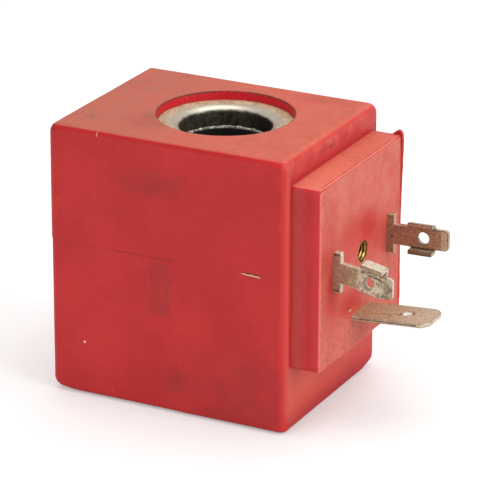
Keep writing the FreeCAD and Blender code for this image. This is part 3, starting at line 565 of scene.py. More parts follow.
def make_collar_steel():
    """Zinc plated steel: rust-tinted flange, bright rolled lip, and the bore wall painted dark as shade,
    with a painted greenish oily sheen that is lit on one side.
    """
    s = Shader("collar_steel")
    uneven = s.noise(1.1, 4, 0.65, (3, 1, 6))
    flat = s.ramp(s.ragged(s.off_axis(s.x, RING_X, s.y, RING_Y), uneven, 1), 7.4, 8.8)
    stain = s.ramp(s.noise(0.7, 5, 0.7, (2, 8, 1)), 0.36, 0.66)
    bright = s.mix(s.times(stain, 0.35), (0.56, 0.515, 0.425), (0.4, 0.35, 0.26))
    s.tone = s.mix(flat, bright, s.mix(stain, (0.62, 0.49, 0.32), (0.42, 0.31, 0.18)))
    s.paint((0.22, 0.13, 0.07), s.ramp(s.noise(2.8, 3, 0.65, (9, 9, 1)), 0.53, 0.61), flat, 0.65)
    pitted = s.ramp(s.noise(1.2, 2, 0.5, (7, 7, 7)), 0.42, 0.52)
    s.paint((0.07, 0.04, 0.025), s.spots(2.6, 0.26, (1, 5, 0)), pitted, flat, 0.85)
    # Painted shade: the bore wall below the lip is near black, with a painted greenish oily sheen strongest
    # on its lit side towards -X.
    wall = s.ramp(s.ragged(s.z, uneven, 0.5), COLLAR_TOP - 0.4, COLLAR_TOP - 0.72)
    lit_oily_sheen = s.times(s.ramp(s.noise(1.3, 4, 0.7), 0.3, 0.65), s.ramp(s.x, -1, 3.5, 1, 0.1))
    s.paint(s.mix(lit_oily_sheen, (0.006, 0.0045, 0.002), (0.06, 0.053, 0.034)), wall)
    return s.done((s.noise(2.4, 4, 0.65), 0.03), (s.noise(0.35, 2, 0.5), 0.1),
                  Metallic=s.times(s.ramp(flat, 0, 1, 0.68, 0.25), s.minus(1, s.times(wall, 0.5))),
                  Roughness=s.plus(s.ramp(flat, 0, 1, 0.3, 0.55), s.times(wall, 0.2)))


def make_ledge_plastic():
    """Scuffed pale plastic, dirty in places."""
    s = Shader("flash_plastic")
    s.tone = s.mix(s.ramp(s.noise(2.2, 4, 0.7), 0.4, 0.58), (0.74, 0.71, 0.62), (0.12, 0.1, 0.07))
    return s.done((s.noise(4, 3, 0.6), 0.03), Roughness=0.55)


def make_winding():
    """Enamelled copper wire, laid in turns up the bobbin, painted darker between the turns as shade and
    lighter on their crests as highlight.
    """
    s = Shader("copper_wire")
    wave = s.math("SINE", s.times(s.z, 2 * pi / WIRE_PITCH))
    # Painted shade and highlight: the colour follows the same wave as the turns' relief.
    s.tone = s.mix(s.ramp(wave, -1, 1), (0.33, 0.1, 0.035), (0.72, 0.3, 0.12))
    return s.done((wave, 0.05), Metallic=1, Roughness=0.28)


def make_brass():
    """The threaded insert: yellow brass with dark dirt round its mouth."""
    s = Shader("insert_brass")
    s.reach = s.off_axis(s.y, INSERT_Y, s.z, BASE_CENTRE)
    s.tone = s.mix(s.ramp(s.noise(1.5, 3, 0.6), 0.35, 0.7), (0.56, 0.34, 0.1), (0.34, 0.19, 0.055))
    s.paint((0.05, 0.03, 0.012), 0.75, reach=(1.32, 1.46, 1.56, 1.6), x=(BASE_FACE - 0.02, BASE_FACE - 0.12))
    return s.done((s.noise(4, 3, 0.6), 0.01), Metallic=1, Roughness=0.3)


# Meshes


def spread(low, high, count):
    """Evenly spaced values from low to high, one more than the count."""
    return [low + (high - low) * step / count for step in range(count + 1)]


def turns(count):
    """Angles that go once round."""
    return spread(0, 2 * pi, count)[:-1]


def ripple(*place):
    """Noise at a place, about -1 to 1."""
    return noise.noise(Vector(place))


def limit(value):
    """A value held between 0 and 1."""
    return min(1, max(0, value))


def part_way(first, second, share):
    """A point part of the way from one point to another."""
    return tuple(a + (b - a) * share for a, b in zip(first, second))


def between(first, second, share):
    """A ring part of the way from one ring to another."""
    return [part_way(a, b, share) for a, b in zip(first, second)]


def at_height(outline, z):
    """A ring of points at one height."""
    return [(x, y, z) for x, y in outline]


def at_base(outline, x):
    """A ring of points round the connector base's axis."""
    return [(x, y, z + BASE_CENTRE) for y, z in outline]


def around(centre, radius, angles):
    """Points of a circle at some angles."""
    return [(centre[0] + radius * cos(angle), centre[1] + radius * sin(angle)) for angle in angles]


def arc(centre, radius, start, end, steps=6):
    """Points of an arc between two angles in degrees."""
    return around(centre, radius, map(radians, spread(start, end, steps)))


def loft(rings, loop=False):
    """A mesh of quads between rings of points: a closed loop, or capped at both ends."""
    mesh = bmesh.new()
    rows = [[mesh.verts.new(Vector(point) * MM) for point in ring] for ring in rings]
    count = len(rings[0])
    pairs = list(zip(rows, rows[1:]))
    if loop:
        pairs.append((rows[-1], rows[0]))
    for first, second in pairs:
        for index in range(count):
            after = (index + 1) % count
            mesh.faces.new((first[index], first[after], second[after], second[index]))
    if not loop:
        mesh.faces.new(rows[0])
        mesh.faces.new(rows[-1])
    bmesh.ops.recalc_face_normals(mesh, faces=mesh.faces)
    return mesh


def to_data(name, mesh):
    """Mesh data from an edit mesh, which is freed."""
    data = bpy.data.meshes.new(name)
    mesh.to_mesh(data)
    mesh.free()
    return data


def add_object(name, data):
    """An object in the scene."""
    item = bpy.data.objects.new(name, data)
    bpy.context.scene.collection.objects.link(item)
    return item


def add_piece(name, mesh, material, sharp=35, staged=False):
    """An object from the mesh, smooth except at sharp edges, on the one body."""
    data = to_data(name, mesh)
    for face in data.polygons:
        face.use_smooth = True
    data.set_sharp_from_angle(angle=radians(sharp))
    data.materials.append(material)
    piece = add_object(name, data)
    if staged:
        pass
    else:
        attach(piece, "root")
    return piece


def combine(name, meshes, operation, material, sharp=35, flatten=False):
    """One closed piece from meshes joined, or cut from the first, with exact booleans."""
    objects = []
    for index, mesh in enumerate(meshes):
        part = f"{name}_{index}"
        objects.append(add_object(part, to_data(part, mesh)))
    for other in objects[1:]:
        cut = objects[0].modifiers.new(other.name, "BOOLEAN")
        cut.operation = operation
        cut.solver = "EXACT"
        cut.object = other
    graph = bpy.context.evaluated_depsgraph_get()
    result = bmesh.new()
    result.from_mesh(bpy.data.meshes.new_from_object(objects[0].evaluated_get(graph)))
    result.verts.sort(key=lambda vertex: vertex.co.dot(SORT_WAY))
    result.edges.sort(key=lambda edge: (edge.verts[0].co + edge.verts[1].co).dot(SORT_WAY))
    result.faces.sort(key=lambda face: face.calc_center_median().dot(SORT_WAY))
    bmesh.ops.remove_doubles(result, verts=result.verts, dist=0.002 * MM)
    if flatten:
        bmesh.ops.dissolve_limit(result, angle_limit=radians(1), verts=result.verts, edges=result.edges)
    for item in objects:
        bpy.data.objects.remove(item)
    return add_piece(name, result, material, sharp)


def rounded_rectangle(half_u, half_v, radius, inset=0):
    """Points 1 mm apart round a rounded rectangle; an inset keeps their number."""
    run_u = max(2, round(2 * (half_u - radius)))
    run_v = max(2, round(2 * (half_v - radius)))
    bend = max(radius - inset, LEAST_BEND)
    reach_u = half_u - inset - bend
    reach_v = half_v - inset - bend
    points = []
    for side_u, side_v, start, run in ((1, 1, 0, run_u), (-1, 1, 90, run_v),
                                       (-1, -1, 180, run_u), (1, -1, 270, run_v)):
        points += arc((side_u * reach_u, side_v * reach_v), bend, start, start + 90, 8)
        begin = points[-1]
        end = (-begin[0], begin[1]) if start in (0, 180) else (begin[0], -begin[1])
        points += [part_way(begin, end, step / run) for step in range(1, run)]
    return points


def ring_towards(outline, centre, radius):
    """The points of a circle that lie in the directions of an outline's points."""
    return around(centre, radius, [atan2(v - centre[1], u - centre[0]) for u, v in outline])


def body_outline(inset):
    """The block's outline in plan, moved to its place."""
    outline = rounded_rectangle(BODY_HALF_LENGTH, BODY_HALF_WIDTH, CORNER_RADIUS, inset)
    return [(x + BODY_CENTRE, y) for x, y in outline]


def lower_outline(inset):
    """The outline below the parting line, set in by a step that dies out towards the base."""
    return [part_way(plain, stepped, limit((0.6 - plain[0]) / 1.4))
            for plain, stepped in zip(body_outline(inset), body_outline(inset + PARTING_STEP))]


def far_share(x, y):
    """How much of the larger bottom radius a point of the outline has."""
    return limit(max((y - 11) / 3.5, (-16.8 - x) / 3))


def near_share(x, y):
    """How much of the smaller top radius a point of the outline has."""
    return limit((-y - 11) / 3.5) * min(limit((x - BODY_BACK) / 4), limit((BODY_FRONT - x) / 3))


def rounded_ring(outline_at, radius, other, share_at, inset, depth):
    """A ring on an edge that changes from one radius to another: points of (x, y, depth)."""
    ring = []
    for first, second, outer in zip(outline_at(radius * inset), outline_at(other * inset), outline_at(0)):
        share = share_at(*outer)
        ring.append((*part_way(first, second, share), (radius + (other - radius) * share) * depth))
    return ring


def soften(rings, size, scale, seed):
    """Move the rings' points a little, as in an uneven moulding, but not out of the block's box."""
    moved = []
    for ring in rings:
        row = []
        for point in ring:
            at = Vector(point) * scale + Vector((seed, seed * 2, seed * 3))
            shifted = Vector(point) + noise.noise_vector(at) * size
            row.append((max(BODY_BACK, shifted.x),
                        min(BODY_HALF_WIDTH, max(-BODY_HALF_WIDTH, shifted.y)),
                        min(BODY_HEIGHT, max(0, shifted.z))))
        moved.append(row)
    return moved


def resample(outline, guide):
    """Points of a convex outline in the directions of the guide's points from the bore's axis."""
    found = []
    for gu, gv in guide:
        angle = atan2(gv, gu)
        way = (cos(angle), sin(angle))
        for first, second in zip(outline, outline[1:] + outline[:1]):
            edge = (second[0] - first[0], second[1] - first[1])
            cross = way[0] * edge[1] - way[1] * edge[0]
            if abs(cross) < 1e-12:
                continue
            reach = (first[0] * edge[1] - first[1] * edge[0]) / cross
            share = (first[0] * way[1] - first[1] * way[0]) / cross
            if reach > 0 and -1e-9 <= share <= 1 + 1e-9:
                found.append((way[0] * reach, way[1] * reach))
                break
    return found


def make_body_mesh():
    """The block as a closed wall with the recess above and the bush's opening below."""
    quarter = pi / 2
    axis = (RING_X, RING_Y)
    rings = []
    for angle in spread(0, quarter, 7):
        rings.append(rounded_ring(lower_outline, BOTTOM_RADIUS, FAR_BOTTOM_RADIUS, far_share,
                                  1 - sin(angle), 1 - cos(angle)))
    lower_levels = spread(FAR_BOTTOM_RADIUS, PARTING_HEIGHT - 0.05, 22)[1:]
    upper_levels = spread(PARTING_HEIGHT + 0.03, BODY_HEIGHT - TOP_RADIUS, 16)
    rings += [at_height(lower_outline(0), z) for z in lower_levels]
    rings += [at_height(body_outline(0), z) for z in upper_levels]
    for angle in spread(0, quarter, 10)[1:]:
        ring = rounded_ring(body_outline, TOP_RADIUS, NEAR_TOP_RADIUS, near_share,
                            1 - cos(angle), 1 - sin(angle))
        rings.append([(x, y, BODY_HEIGHT - depth) for x, y, depth in ring])
    edge = [(x, y) for x, y, z in rings[-1]]
    rim = ring_towards(edge, axis, RECESS_RADIUS + RECESS_EDGE)
    rings += [at_height(between(edge, rim, share), BODY_HEIGHT) for share in spread(0, 1, 9)[1:]]
    for angle in spread(0, quarter, 3)[1:]:
        circle = ring_towards(edge, axis, RECESS_RADIUS + RECESS_EDGE * (1 - sin(angle)))
        rings.append(at_height(circle, BODY_HEIGHT - RECESS_EDGE * (1 - cos(angle))))
    wall = ring_towards(edge, axis, RECESS_RADIUS)
    rings += [at_height(wall, z) for z in (40.4, 40, COLLAR_TOP, YOKE_TOP)]
    rings = soften(rings, 0.035, 0.11, 3)
    inside = [(x + ROOM_SHIFT, y) for x, y in rounded_rectangle(ROOM_HALF_LENGTH, ROOM_HALF_WIDTH, 0.6)]
    room = resample(inside, edge)
    bush = ring_towards(edge, (0, 0), BUSH_FLANGE_RADIUS)
    foot = body_outline(BOTTOM_RADIUS + PARTING_STEP)
    rings += [at_height(between(wall, room, 0.5), YOKE_TOP), at_height(room, YOKE_TOP),
              at_height(room, YOKE_BOTTOM), at_height(between(room, bush, 0.5), YOKE_BOTTOM),
              at_height(bush, YOKE_BOTTOM)]
    rings += [at_height(between(bush, foot, share), 0) for share in spread(0, 1, 6)[:-1]]
    return loft(rings, loop=True)


def make_base_mesh():
    """The connector base, with its rounded outer edges and the hole for the insert."""
    def section(x, inset=0):
        return at_base(rounded_rectangle(BASE_HALF_WIDTH, BASE_HALF_HEIGHT, BASE_CORNER_RADIUS, inset), x)

    places = (15.6, 16.6, 17.3, 18, 18.8, 19.6, 20.4, 21.2, BASE_FACE - BASE_EDGE_RADIUS)
    rings = [section(x) for x in places]
    for angle in spread(0, pi / 2, 5)[1:]:
        rings.append(section(BASE_FACE - BASE_EDGE_RADIUS * (1 - sin(angle)),
                             BASE_EDGE_RADIUS * (1 - cos(angle))))
    edge = rounded_rectangle(BASE_HALF_WIDTH, BASE_HALF_HEIGHT, BASE_CORNER_RADIUS, BASE_EDGE_RADIUS)
    hole = ring_towards(edge, (INSERT_Y, 0), INSERT_NOSE_RADIUS + 0.02)
    rings += [at_base(between(edge, hole, share), BASE_FACE) for share in spread(0, 1, 12)[1:]]
    return loft(soften(rings, 0.04, 0.13, 11) + [at_base(hole, 15.8)])


def make_fin_mesh():
    """The thin fin of flash that runs down the base's far edge and dies out below."""
    reaches = [(10, 0.03), (13, 0.12), (17, 0.06), (22, 0.02), (26, 0.07), (28, 0.12),
               (30, 0.15), (32, 0.22), (34, 0.28), (35.5, 0.31), (36.6, 0.31), (37.1, 0.22)]
    rings = []
    for first, second in zip(reaches, reaches[1:]):
        for share in spread(0, 1, 6)[:-1]:
            z, tip = part_way((first[0], BASE_FACE + first[1]), (second[0], BASE_FACE + second[1]), share)
            tip += 0.03 * ripple(z * 0.7, 5, 2)
            rings.append([(21.3, 13.16, z), (BASE_FACE - 0.05, 13.14, z), (tip - 0.03, 13.26, z),
                          (tip, 13.36, z), (tip, 13.48, z), (tip - 0.08, 13.57, z), (21.3, 13.58, z)])
    return loft(rings)


def make_flash_mesh():
    """The curled ear of flash at the base's far top corner, hollowed on its near side."""
    side_view = [(20.35, 37), (20.7, 37.22), (21.08, 37.55), (21.42, 37.82), (21.72, 37.92), (21.98, 37.84),
                 (22.18, 37.62), (22.32, 37.25), (22.38, 36.7), (22.38, 36.1), (22.3, 35.6), (21.9, 35.3),
                 (21.5, 35.6), (21, 36.2), (20.6, 36.7)]
    middle = (21.65, 36.85)
    rings = []
    for y, scale in ((13.2, 0.4), (13.14, 0.62), (13.04, 0.82), (13.00, 0.92), (13.04, 0.98), (13.12, 1),
                     (13.5, 1), (13.58, 0.97)):
        rings.append([(x, y, z) for x, z in (part_way(middle, point, scale) for point in side_view)])
    return loft(rings)


def make_bead_mesh():
    """The thin ridge of flash along the base's top outer edge."""
    rings = []
    x = BASE_FACE - 0.13
    for share in spread(0, 1, 90):
        y = -BASE_HALF_WIDTH + 0.5 + (2 * BASE_HALF_WIDTH - 1.6) * share
        ends = max(0.02, min(1, share * 14, (1 - share) * 14))
        radius = (0.17 + 0.035 * ripple(y * 0.8, 3, 1)) * ends
        z = BASE_CENTRE + BASE_HALF_HEIGHT - 0.13 + 0.03 * ripple(y * 0.3, 9, 4)
        rings.append([(u, y, v) for u, v in around((x, z), radius, turns(10))])
    return loft(rings)


def make_collar_mesh():
    """The drawn ring: flat flange, rolled lip and a sleeve, all a little uneven."""
    profile = [(COLLAR_BORE_RADIUS, COLLAR_END), (COLLAR_BORE_RADIUS, 37.2)]
    for angle in spread(0, pi / 2, 16):
        profile.append((COLLAR_BORE_RADIUS + COLLAR_LIP_REACH * (1 - cos(angle)),
                        COLLAR_TOP - COLLAR_LIP_FALL * (1 - sin(angle))))
    profile += [(9, COLLAR_TOP), (9.5, COLLAR_TOP), (9.85, COLLAR_TOP), (9.93, COLLAR_TOP - 0.03),
                (9.98, COLLAR_TOP - 0.1), (9.98, YOKE_TOP + 0.02), (7.9, YOKE_TOP + 0.02),
                (COLLAR_SLEEVE_RADIUS, YOKE_TOP - 0.1), (COLLAR_SLEEVE_RADIUS, COLLAR_END)]
    rings = []
    for radius, z in profile:
        ring = []
        for angle in turns(240):
            way = Vector((cos(angle), sin(angle), 0))
            change = 0.03 * noise.noise(way * 2.5 + Vector((1, z * 0.3, radius * 0.3)))
            ring.append(way * (radius + change) + Vector((RING_X, RING_Y, z + change * 0.5)))
        rings.append(ring)
    return loft(rings, loop=True)


def make_ledge_mesh():
    """Ragged plastic flash on the bobbin's end, seen inside the bore."""
    rings = []
    for corner in turns(8):
        ring = []
        for turn in turns(260):
            way = Vector((cos(turn), sin(turn), 0))
            rough = noise.noise(way * 9 + Vector((2, 4, 0)))
            fine = noise.noise(way * 40 + Vector((8, 1, 0)))
            radius = 6.52 + 0.12 * rough + 0.06 * fine + 0.16 * cos(corner)
            thick = 0.2 + 0.1 * rough + 0.09 * fine
            ring.append(way * radius + Vector((RING_X, RING_Y, 36.62 + 0.05 * fine + thick * sin(corner))))
        rings.append(ring)
    return loft(rings, loop=True)


def plate(outline, holes, low, high, place):
    """A flat plate between two levels; place turns (u, v, level) into millimetres of the frame."""
    mesh = bmesh.new()
    edges = []
    for loop in [outline] + holes:
        points = [mesh.verts.new(Vector(place(u, v, low)) * MM) for u, v in loop]
        edges += [mesh.edges.new(pair) for pair in zip(points, points[1:] + points[:1])]
    bmesh.ops.triangle_fill(mesh, use_beauty=True, use_dissolve=False, edges=edges)
    grown = bmesh.ops.extrude_face_region(mesh, geom=list(mesh.faces))
    moved = [item for item in grown["geom"] if isinstance(item, bmesh.types.BMVert)]
    step = (Vector(place(0, 0, high)) - Vector(place(0, 0, low))) * MM
    bmesh.ops.translate(mesh, verts=moved, vec=step)
    bmesh.ops.recalc_face_normals(mesh, faces=mesh.faces)
    return mesh


def strip(path, start, end, thickness):
    """A bent strip: a path in (Y, Z) given a thickness and run along X."""
    left, right = [], []
    for index, (y, z) in enumerate(path):
        before = path[max(index - 1, 0)]
        after = path[min(index + 1, len(path) - 1)]
        run = Vector((after[0] - before[0], after[1] - before[1])).normalized() * (thickness / 2)
        left.append((y - run.y, z + run.x))
        right.append((y + run.y, z - run.x))
    outline = left + right[::-1]
    return loft([[(x, y, z) for y, z in outline] for x in spread(start, end, 4)])


def bevel(piece, width, edge_material):
    """Round the sharp edges of a piece and give them their own material."""
    piece.data.materials.append(edge_material)
    cut = piece.modifiers.new("bevel", "BEVEL")
    cut.width = width * MM
    cut.segments = 3
    cut.limit_method = "ANGLE"
    cut.angle_limit = radians(40)
    cut.material = 1
    cut.use_clamp_overlap = False


def live_outline(rise, tip, lift, hole_half):
    """The outline of a live terminal's blank, with its blade rising along X, and its hole."""
    def line(x):
        return rise * (x - LIVE_BAR_DEPTH)

    high = LIVE_HALF_BLADE
    corner = LIVE_TIP_CORNER
    leg = LIVE_LEG_END - BASE_FACE
    along = (2.4, 3.6, 5, 6.4, 7.8)
    points = [(leg, -LIVE_HALF_LEG - lift), (0, -LIVE_HALF_LEG - lift), (0, -LIVE_HALF_BAR),
              (LIVE_BAR_DEPTH, -LIVE_HALF_BAR), (LIVE_BAR_DEPTH, -high)]
    points += [(x, line(x) - high) for x in along]
    points += arc((tip - corner, line(tip) - high + corner), corner, -90, 0)
    points += arc((tip - corner, line(tip) + high - corner), corner, 0, 90)
    points += [(x, line(x) + high) for x in along[::-1]]
    points += [(LIVE_BAR_DEPTH, high), (LIVE_BAR_DEPTH, LIVE_HALF_BAR), (0, LIVE_HALF_BAR),
               (0, LIVE_HALF_LEG - lift), (leg, LIVE_HALF_LEG - lift)]
    hole = [(LIVE_HOLE_PLACE + u * hole_half / LIVE_HOLE_HEIGHT, line(LIVE_HOLE_PLACE) + v)
            for u, v in arc((0, 0), LIVE_HOLE_HEIGHT, 0, 351, 39)]
    return points, hole


def wing_path(middle, way, rise, depth, fold):
    """The path of a folded wing's section, from inside the blade round to its free edge."""
    end = radians(fold)
    points = [(middle, way * 1.2), (middle, way * (rise - WING_BEND))]
    for angle in spread(0, end, 10)[1:]:
        points.append((middle - WING_BEND * (1 - cos(angle)),
                       way * (rise - WING_BEND + WING_BEND * sin(angle))))
    run = depth + LIVE_SHEET / 2 - WING_BEND
    last = points[-1]
    for share in (0.75, 1):
        points.append((last[0] - run * share * sin(end), last[1] + way * run * share * cos(end)))
    return points


def make_live(name, side, rise, material, edge_material, wings, tip=LIVE_TIP, lift=0,
              hole_half=LIVE_HOLE_HEIGHT, flap=None, swing=0, wing_rise=None):
    """A live terminal with folded wings, bevelled all round; swing bends its blade sideways."""
    outline, hole = live_outline(rise, tip, lift, hole_half)
    middle = side * LIVE_PLACE
    height = LIVE_HEIGHT + lift

    def place(u, v, level):
        return (BASE_FACE + u, middle + level, height + v)

    half = LIVE_SHEET / 2
    meshes = [plate(outline, [hole], -half, half, place)]
    if flap is not None:
        bar = [(0.05, -LIVE_HALF_BAR), (LIVE_BAR_DEPTH, -LIVE_HALF_BAR), (LIVE_BAR_DEPTH, LIVE_HALF_BAR),
               (0.05, LIVE_HALF_BAR)]
        meshes.append(plate(bar, [], half - 0.1, half + 0.22, place))
        centre = (LIVE_HOLE_PLACE, rise * (LIVE_HOLE_PLACE - LIVE_BAR_DEPTH))
        rim = [part_way(centre, point, 0.97) for point in hole]
        meshes.append(plate(flap, [rim], -half - 0.26, -half + 0.1, place))
    for way, start, end, crest, depth, fold in wings:
        section = [(y, z + height) for y, z in wing_path(middle, way, crest, depth, fold)]
        mesh = strip(section, BASE_FACE + start, BASE_FACE + end, WING_SHEET)
        half_way = (start + end) / 2
        bmesh.ops.rotate(mesh, cent=Vector((BASE_FACE + half_way, 0, height)) * MM, verts=mesh.verts,
                         matrix=Matrix.Rotation(-atan(wing_rise or rise), 3, "Y"))
        bmesh.ops.translate(mesh, verts=mesh.verts, vec=(0, 0, rise * (half_way - LIVE_BAR_DEPTH) * MM))
        meshes.append(mesh)
    piece = combine(name + "_blade", meshes, "UNION", material, flatten=True)
    for vertex in piece.data.vertices:
        out = vertex.co.x / MM - (BASE_FACE + LIVE_BAR_DEPTH + 0.4)
        if swing and out > 0:
            vertex.co.y -= out * tan(radians(swing)) * min(1, out / 1.5) * MM
    bevel(piece, 0.1, edge_material)
    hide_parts(name)
    return piece


def make_burr_mesh(place):
    """The raised burr left round the earth blade's punched hole."""
    rings = []
    for corner in turns(8):
        ring = []
        for turn in turns(48):
            rough = noise.noise(Vector((cos(turn) * 2, sin(turn) * 2, 3)))
            radius = EARTH_HOLE_RADIUS + 0.16 + 0.05 * rough + 0.13 * cos(corner)
            height = (0.1 + 0.05 * rough) * sin(corner)
            ring.append(place(EARTH_HOLE_PLACE + radius * cos(turn), EARTH_HOLE_Y + radius * sin(turn),
                              EARTH_SHEET / 2 - 0.02 + height))
        rings.append(ring)
    return loft(rings, loop=True)


def make_seam_mesh():
    """The narrow gap that the folded sheet leaves along the earth blade's near edge."""
    rings = []
    for u in spread(-1, 10.1, 40):
        middle = EARTH_HEIGHT + 0.03 * ripple(u * 0.9, 2, 5)
        gap = 0.04 + 0.02 * ripple(u * 0.6, 7, 5)
        rings.append([(BASE_FACE + u, -EARTH_HALF_WIDTH + inwards, middle + gap * share)
                      for inwards, share in ((-0.3, -1), (0.55, -0.3), (0.55, 0.3), (-0.3, 1))])
    return loft(rings)


def make_earth():
    """The folded earth blade: chamfered tip, punched hole and an open seam along its near edge."""
    half = EARTH_HALF_WIDTH
    tip = EARTH_LENGTH
    cut = EARTH_CHAMFER
    near = [(-6.1, -half), (10, -half), (tip - cut - 0.25, -half), (tip - cut + 0.12, -half + 0.12),
            (tip - 0.14, -half + cut - 0.14), (tip, -half + cut + 0.25)]
    far = [(u, -v) for u, v in near if u != 10]
    hole = arc((EARTH_HOLE_PLACE, EARTH_HOLE_Y), EARTH_HOLE_RADIUS, 0, 351, 39)

    def place(u, v, level):
        return (BASE_FACE + u, v, EARTH_HEIGHT + level)

    blade = plate(near + far[::-1], [hole], -EARTH_SHEET / 2, EARTH_SHEET / 2, place)
    burr = to_data("burr", make_burr_mesh(place))
    blade.from_mesh(burr)
    bpy.data.meshes.remove(burr)
    piece = combine("earth_blade", [blade, make_seam_mesh()], "DIFFERENCE", EARTH_TIN)
    turn = Matrix.Rotation(-atan(EARTH_RISE), 4, "Y") @ Matrix.Rotation(radians(EARTH_ROLL), 4, "X")
    pivot = Matrix.Translation(Vector((BASE_FACE, 0, EARTH_HEIGHT)) * MM)
    piece.data.transform(pivot @ turn @ pivot.inverted())
    bevel(piece, 0.11, EARTH_EDGE)
    return piece


def make_insert_mesh():
    """The insert: thin nose at the face, plain bands behind it and a real thread inside."""
    sides = 96

    def ring(x, radii):
        return at_base([(INSERT_Y + radius * cos(angle), radius * sin(angle))
                        for radius, angle in zip(radii, turns(sides))], x)

    outside = [(13.75, 0.6), (13.7, 1.9), (16.3, INSERT_RADIUS), (16.4, 1.6), (18, 1.6),
               (18.1, INSERT_RADIUS), (21.2, INSERT_RADIUS), (21.22, INSERT_NOSE_RADIUS),
               (BASE_FACE - 0.03, INSERT_NOSE_RADIUS),
               (BASE_FACE, INSERT_NOSE_RADIUS - 0.04), (BASE_FACE, 1.53)]
    rings = [ring(x, [radius] * sides) for x, radius in outside]
    for x in spread(BASE_FACE - 0.04, BASE_FACE - 0.04 - THREAD_DEPTH, 90):
        fade = limit((BASE_FACE - x) / 0.35)
        radii = []
        for side in range(sides):
            groove = abs(2 * ((x / THREAD_PITCH - side / sides) % 1) - 1)
            radii.append(THREAD_MOUTH + (1.24 + 0.27 * groove ** 0.8 - THREAD_MOUTH) * fade)
        rings.append(ring(x, radii))
    rings += [ring(x, [1.2] * sides) for x in (BASE_FACE - THREAD_DEPTH - 0.3, BASE_FACE - 7)]
    return loft(rings)


RED = make_red()
COLLAR_STEEL = make_collar_steel()
TARNISHED = make_tin("right_terminal_tin", (0.475, 0.305, 0.195), (0.6, 0.49, 0.34), 1, 0.65, wear_and_light_right)
MOTTLED = make_tin("left_terminal_tin", (0.49, 0.34, 0.21), (0.8, 0.71, 0.55), 1, 0.6, wear_and_light_left)
EARTH_TIN = make_tin("earth_tin", (0.55, 0.415, 0.235), (0.7, 0.59, 0.43), 2, 0.4, wear_and_light_earth, fade_earth)
TARNISHED_EDGE = make_edge_grime("right_terminal_edge", (0.6, 0.48, 0.34), 3.3, 0.55, 0.95)
MOTTLED_EDGE = make_edge_grime("left_terminal_edge", (0.72, 0.61, 0.46), 4.2, 0, 0.8)
EARTH_EDGE = make_edge_grime("earth_edge", (0.62, 0.5, 0.35), 1, 0, 0.45)

skin = combine("housing_skin", [make_body_mesh(), make_base_mesh(), make_flash_mesh(), make_fin_mesh(),
                                make_bead_mesh()], "UNION", RED, sharp=30)
weight = skin.modifiers.new("even_normals", "WEIGHTED_NORMAL")
weight.keep_sharp = True
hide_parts("housing")

collar = add_piece("rolled_collar", make_collar_mesh(), COLLAR_STEEL)
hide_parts("upper_flux_collar")

ledge = add_piece("bobbin_flash", make_ledge_mesh(), make_ledge_plastic())

# Each wing: side of the blade, start, end, crest, depth and fold in degrees.
right = make_live("right_live_terminal", 1, 0.03, TARNISHED, TARNISHED_EDGE, [
    (1, LIVE_WING_START, LIVE_WING_END + 0.1, 1.92, 1.1, 76),
    (-1, LIVE_WING_START, LIVE_WING_END, 2, 1.05, 90)], lift=0.05)

# The outline of the left terminal's lower wing, hammered flat over its blade.
FLAP = [(4.02, -1.9), (3.55, -1.45), (3.85, -0.7), (4.2, 0.08), (4.05, 0.95), (4.6, 1),
        (5.3, 0.78), (6.4, 0.6), (7.4, 0.42), (8, 0.1), (8.3, -0.6), (8.35, -1.5),
        (8.15, -2.3), (7.35, -2.42), (5.6, -2.12), (4.6, -2)]
left = make_live("left_live_terminal", -1, -0.1, MOTTLED, MOTTLED_EDGE, [(1, 4.72, 8.12, 2.92, 1.9, 93)],
                 tip=9.45, lift=0.2, hole_half=0.79, flap=FLAP, swing=5, wing_rise=-0.17)

earth = make_earth()
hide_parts("earth_terminal")

insert = add_piece("threaded_insert", make_insert_mesh(), make_brass(), sharp=50)
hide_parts("screw_insert")

INNER = {
    "bobbin": make_plain("bobbin_plastic", (0.012, 0.013, 0.011), 0.45),
    "winding": make_winding(),
    "winding_tape": make_plain("film_tape", (0.62, 0.42, 0.07), 0.3),
    "lower_flux_collar": make_metal("bush_steel", (0.55, 0.53, 0.48), (0.3, 0.26, 0.21), 0.4),
    "yoke_frame": make_metal("yoke_steel", (0.5, 0.5, 0.48), (0.3, 0.3, 0.29), 0.38),
    "terminal_carrier": make_plain("carrier_plastic", (0.02, 0.02, 0.022), 0.5),
    "earth_rivet": make_metal("rivet_brass", (0.62, 0.44, 0.2), (0.4, 0.26, 0.12), 0.35),
    "start_lead": make_metal("lead_copper", (0.75, 0.33, 0.14), (0.45, 0.17, 0.07), 0.3),
    "start_lead_sleeve": make_plain("sleeve_plastic", (0.72, 0.7, 0.6), 0.45),
    "start_solder_joint": make_metal("solder_alloy", (0.62, 0.62, 0.6), (0.42, 0.42, 0.41), 0.25),
}
for name in ("lead", "lead_sleeve", "solder_joint"):
    INNER["finish_" + name] = INNER["start_" + name]
for name, material in INNER.items():
    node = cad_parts[name]
    node.data.materials.clear()
    node.data.materials.append(material)


# Studio


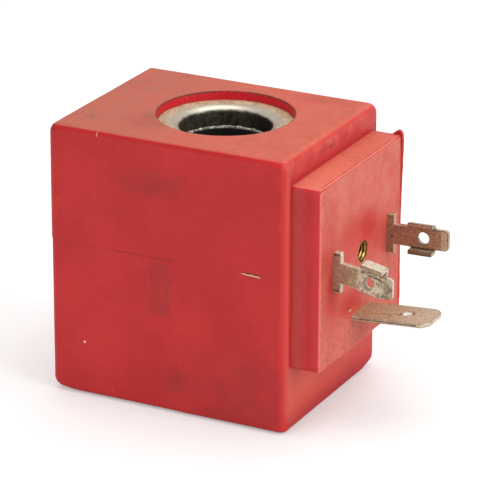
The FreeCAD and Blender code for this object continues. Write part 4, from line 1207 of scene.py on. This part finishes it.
def make_camera():
    """The camera that took the photo."""
    azimuth = radians(CAMERA_AZIMUTH)
    elevation = radians(CAMERA_ELEVATION)
    roll = radians(CAMERA_ROLL)
    back = Vector((sin(azimuth) * cos(elevation),
                   -cos(azimuth) * cos(elevation),
                   sin(elevation)))
    right_way = Vector((cos(azimuth), sin(azimuth), 0))
    up = back.cross(right_way)
    turned_right = right_way * cos(roll) + up * sin(roll)
    turned_up = up * cos(roll) - right_way * sin(roll)
    data = bpy.data.cameras.new("camera")
    data.lens = CAMERA_LENS
    data.sensor_width = SENSOR_WIDTH
    data.clip_start = 0.05
    data.clip_end = 20
    camera = add_object("camera", data)
    place = (Vector(CAMERA_TARGET) + back * CAMERA_DISTANCE) * MM
    turn = Matrix((turned_right, turned_up, back)).transposed().to_4x4()
    camera.matrix_world = Matrix.Translation(place) @ turn
    bpy.context.scene.camera = camera


def make_world():
    """White surroundings: full white to the camera, a little less as light."""
    world = bpy.data.worlds.new("studio")
    world.use_nodes = True
    tree = world.node_tree
    mix = tree.nodes.new("ShaderNodeMixShader")
    ray = tree.nodes.new("ShaderNodeLightPath")
    tree.links.new(ray.outputs["Is Camera Ray"], mix.inputs[0])
    light = tree.nodes["Background"]
    white = tree.nodes.new("ShaderNodeBackground")
    for slot, node, colour, strength in ((1, light, (1, 0.985, 0.97, 1), WORLD_STRENGTH),
                                         (2, white, (1, 1, 1, 1), 1)):
        node.inputs["Color"].default_value = colour
        node.inputs["Strength"].default_value = strength
        tree.links.new(node.outputs[0], mix.inputs[slot])
    tree.links.new(mix.outputs[0], tree.nodes["World Output"].inputs["Surface"])
    bpy.context.scene.world = world


def make_light(name, place, size, power):
    """A soft rectangular light that points at the block."""
    data = bpy.data.lights.new(name, "AREA")
    data.shape = "RECTANGLE"
    data.size, data.size_y = size
    data.energy = power
    light = add_object(name, data)
    light.location = place
    way = Vector(LAMP_TARGET) - Vector(place)
    light.rotation_euler = way.to_track_quat("-Z", "Y").to_euler()


def make_floor():
    """A plain white table that fills the view and stays white to the camera."""
    mesh = bmesh.new()
    mesh.faces.new([mesh.verts.new((u * TABLE_REACH, v * TABLE_REACH, -TABLE_DROP))
                    for u, v in ((-1, -1), (1, -1), (1, 1), (-1, 1))])
    s = Shader("table_white")
    s.set("Base Color", (TABLE_TONE, TABLE_TONE, TABLE_TONE))
    s.set("Roughness", 0.9)
    s.set("Specular IOR Level", 0)
    s.set("Emission Color", (1, 1, 1))
    s.set("Emission Strength", s.times(s.node("LightPath", {}, "Is Camera Ray"), TABLE_GLOW))
    add_piece("table", mesh, s.material, staged=True)


make_camera()
make_world()
make_floor()
for name, (place, size, power) in LAMPS.items():
    make_light(name, place, size, power)
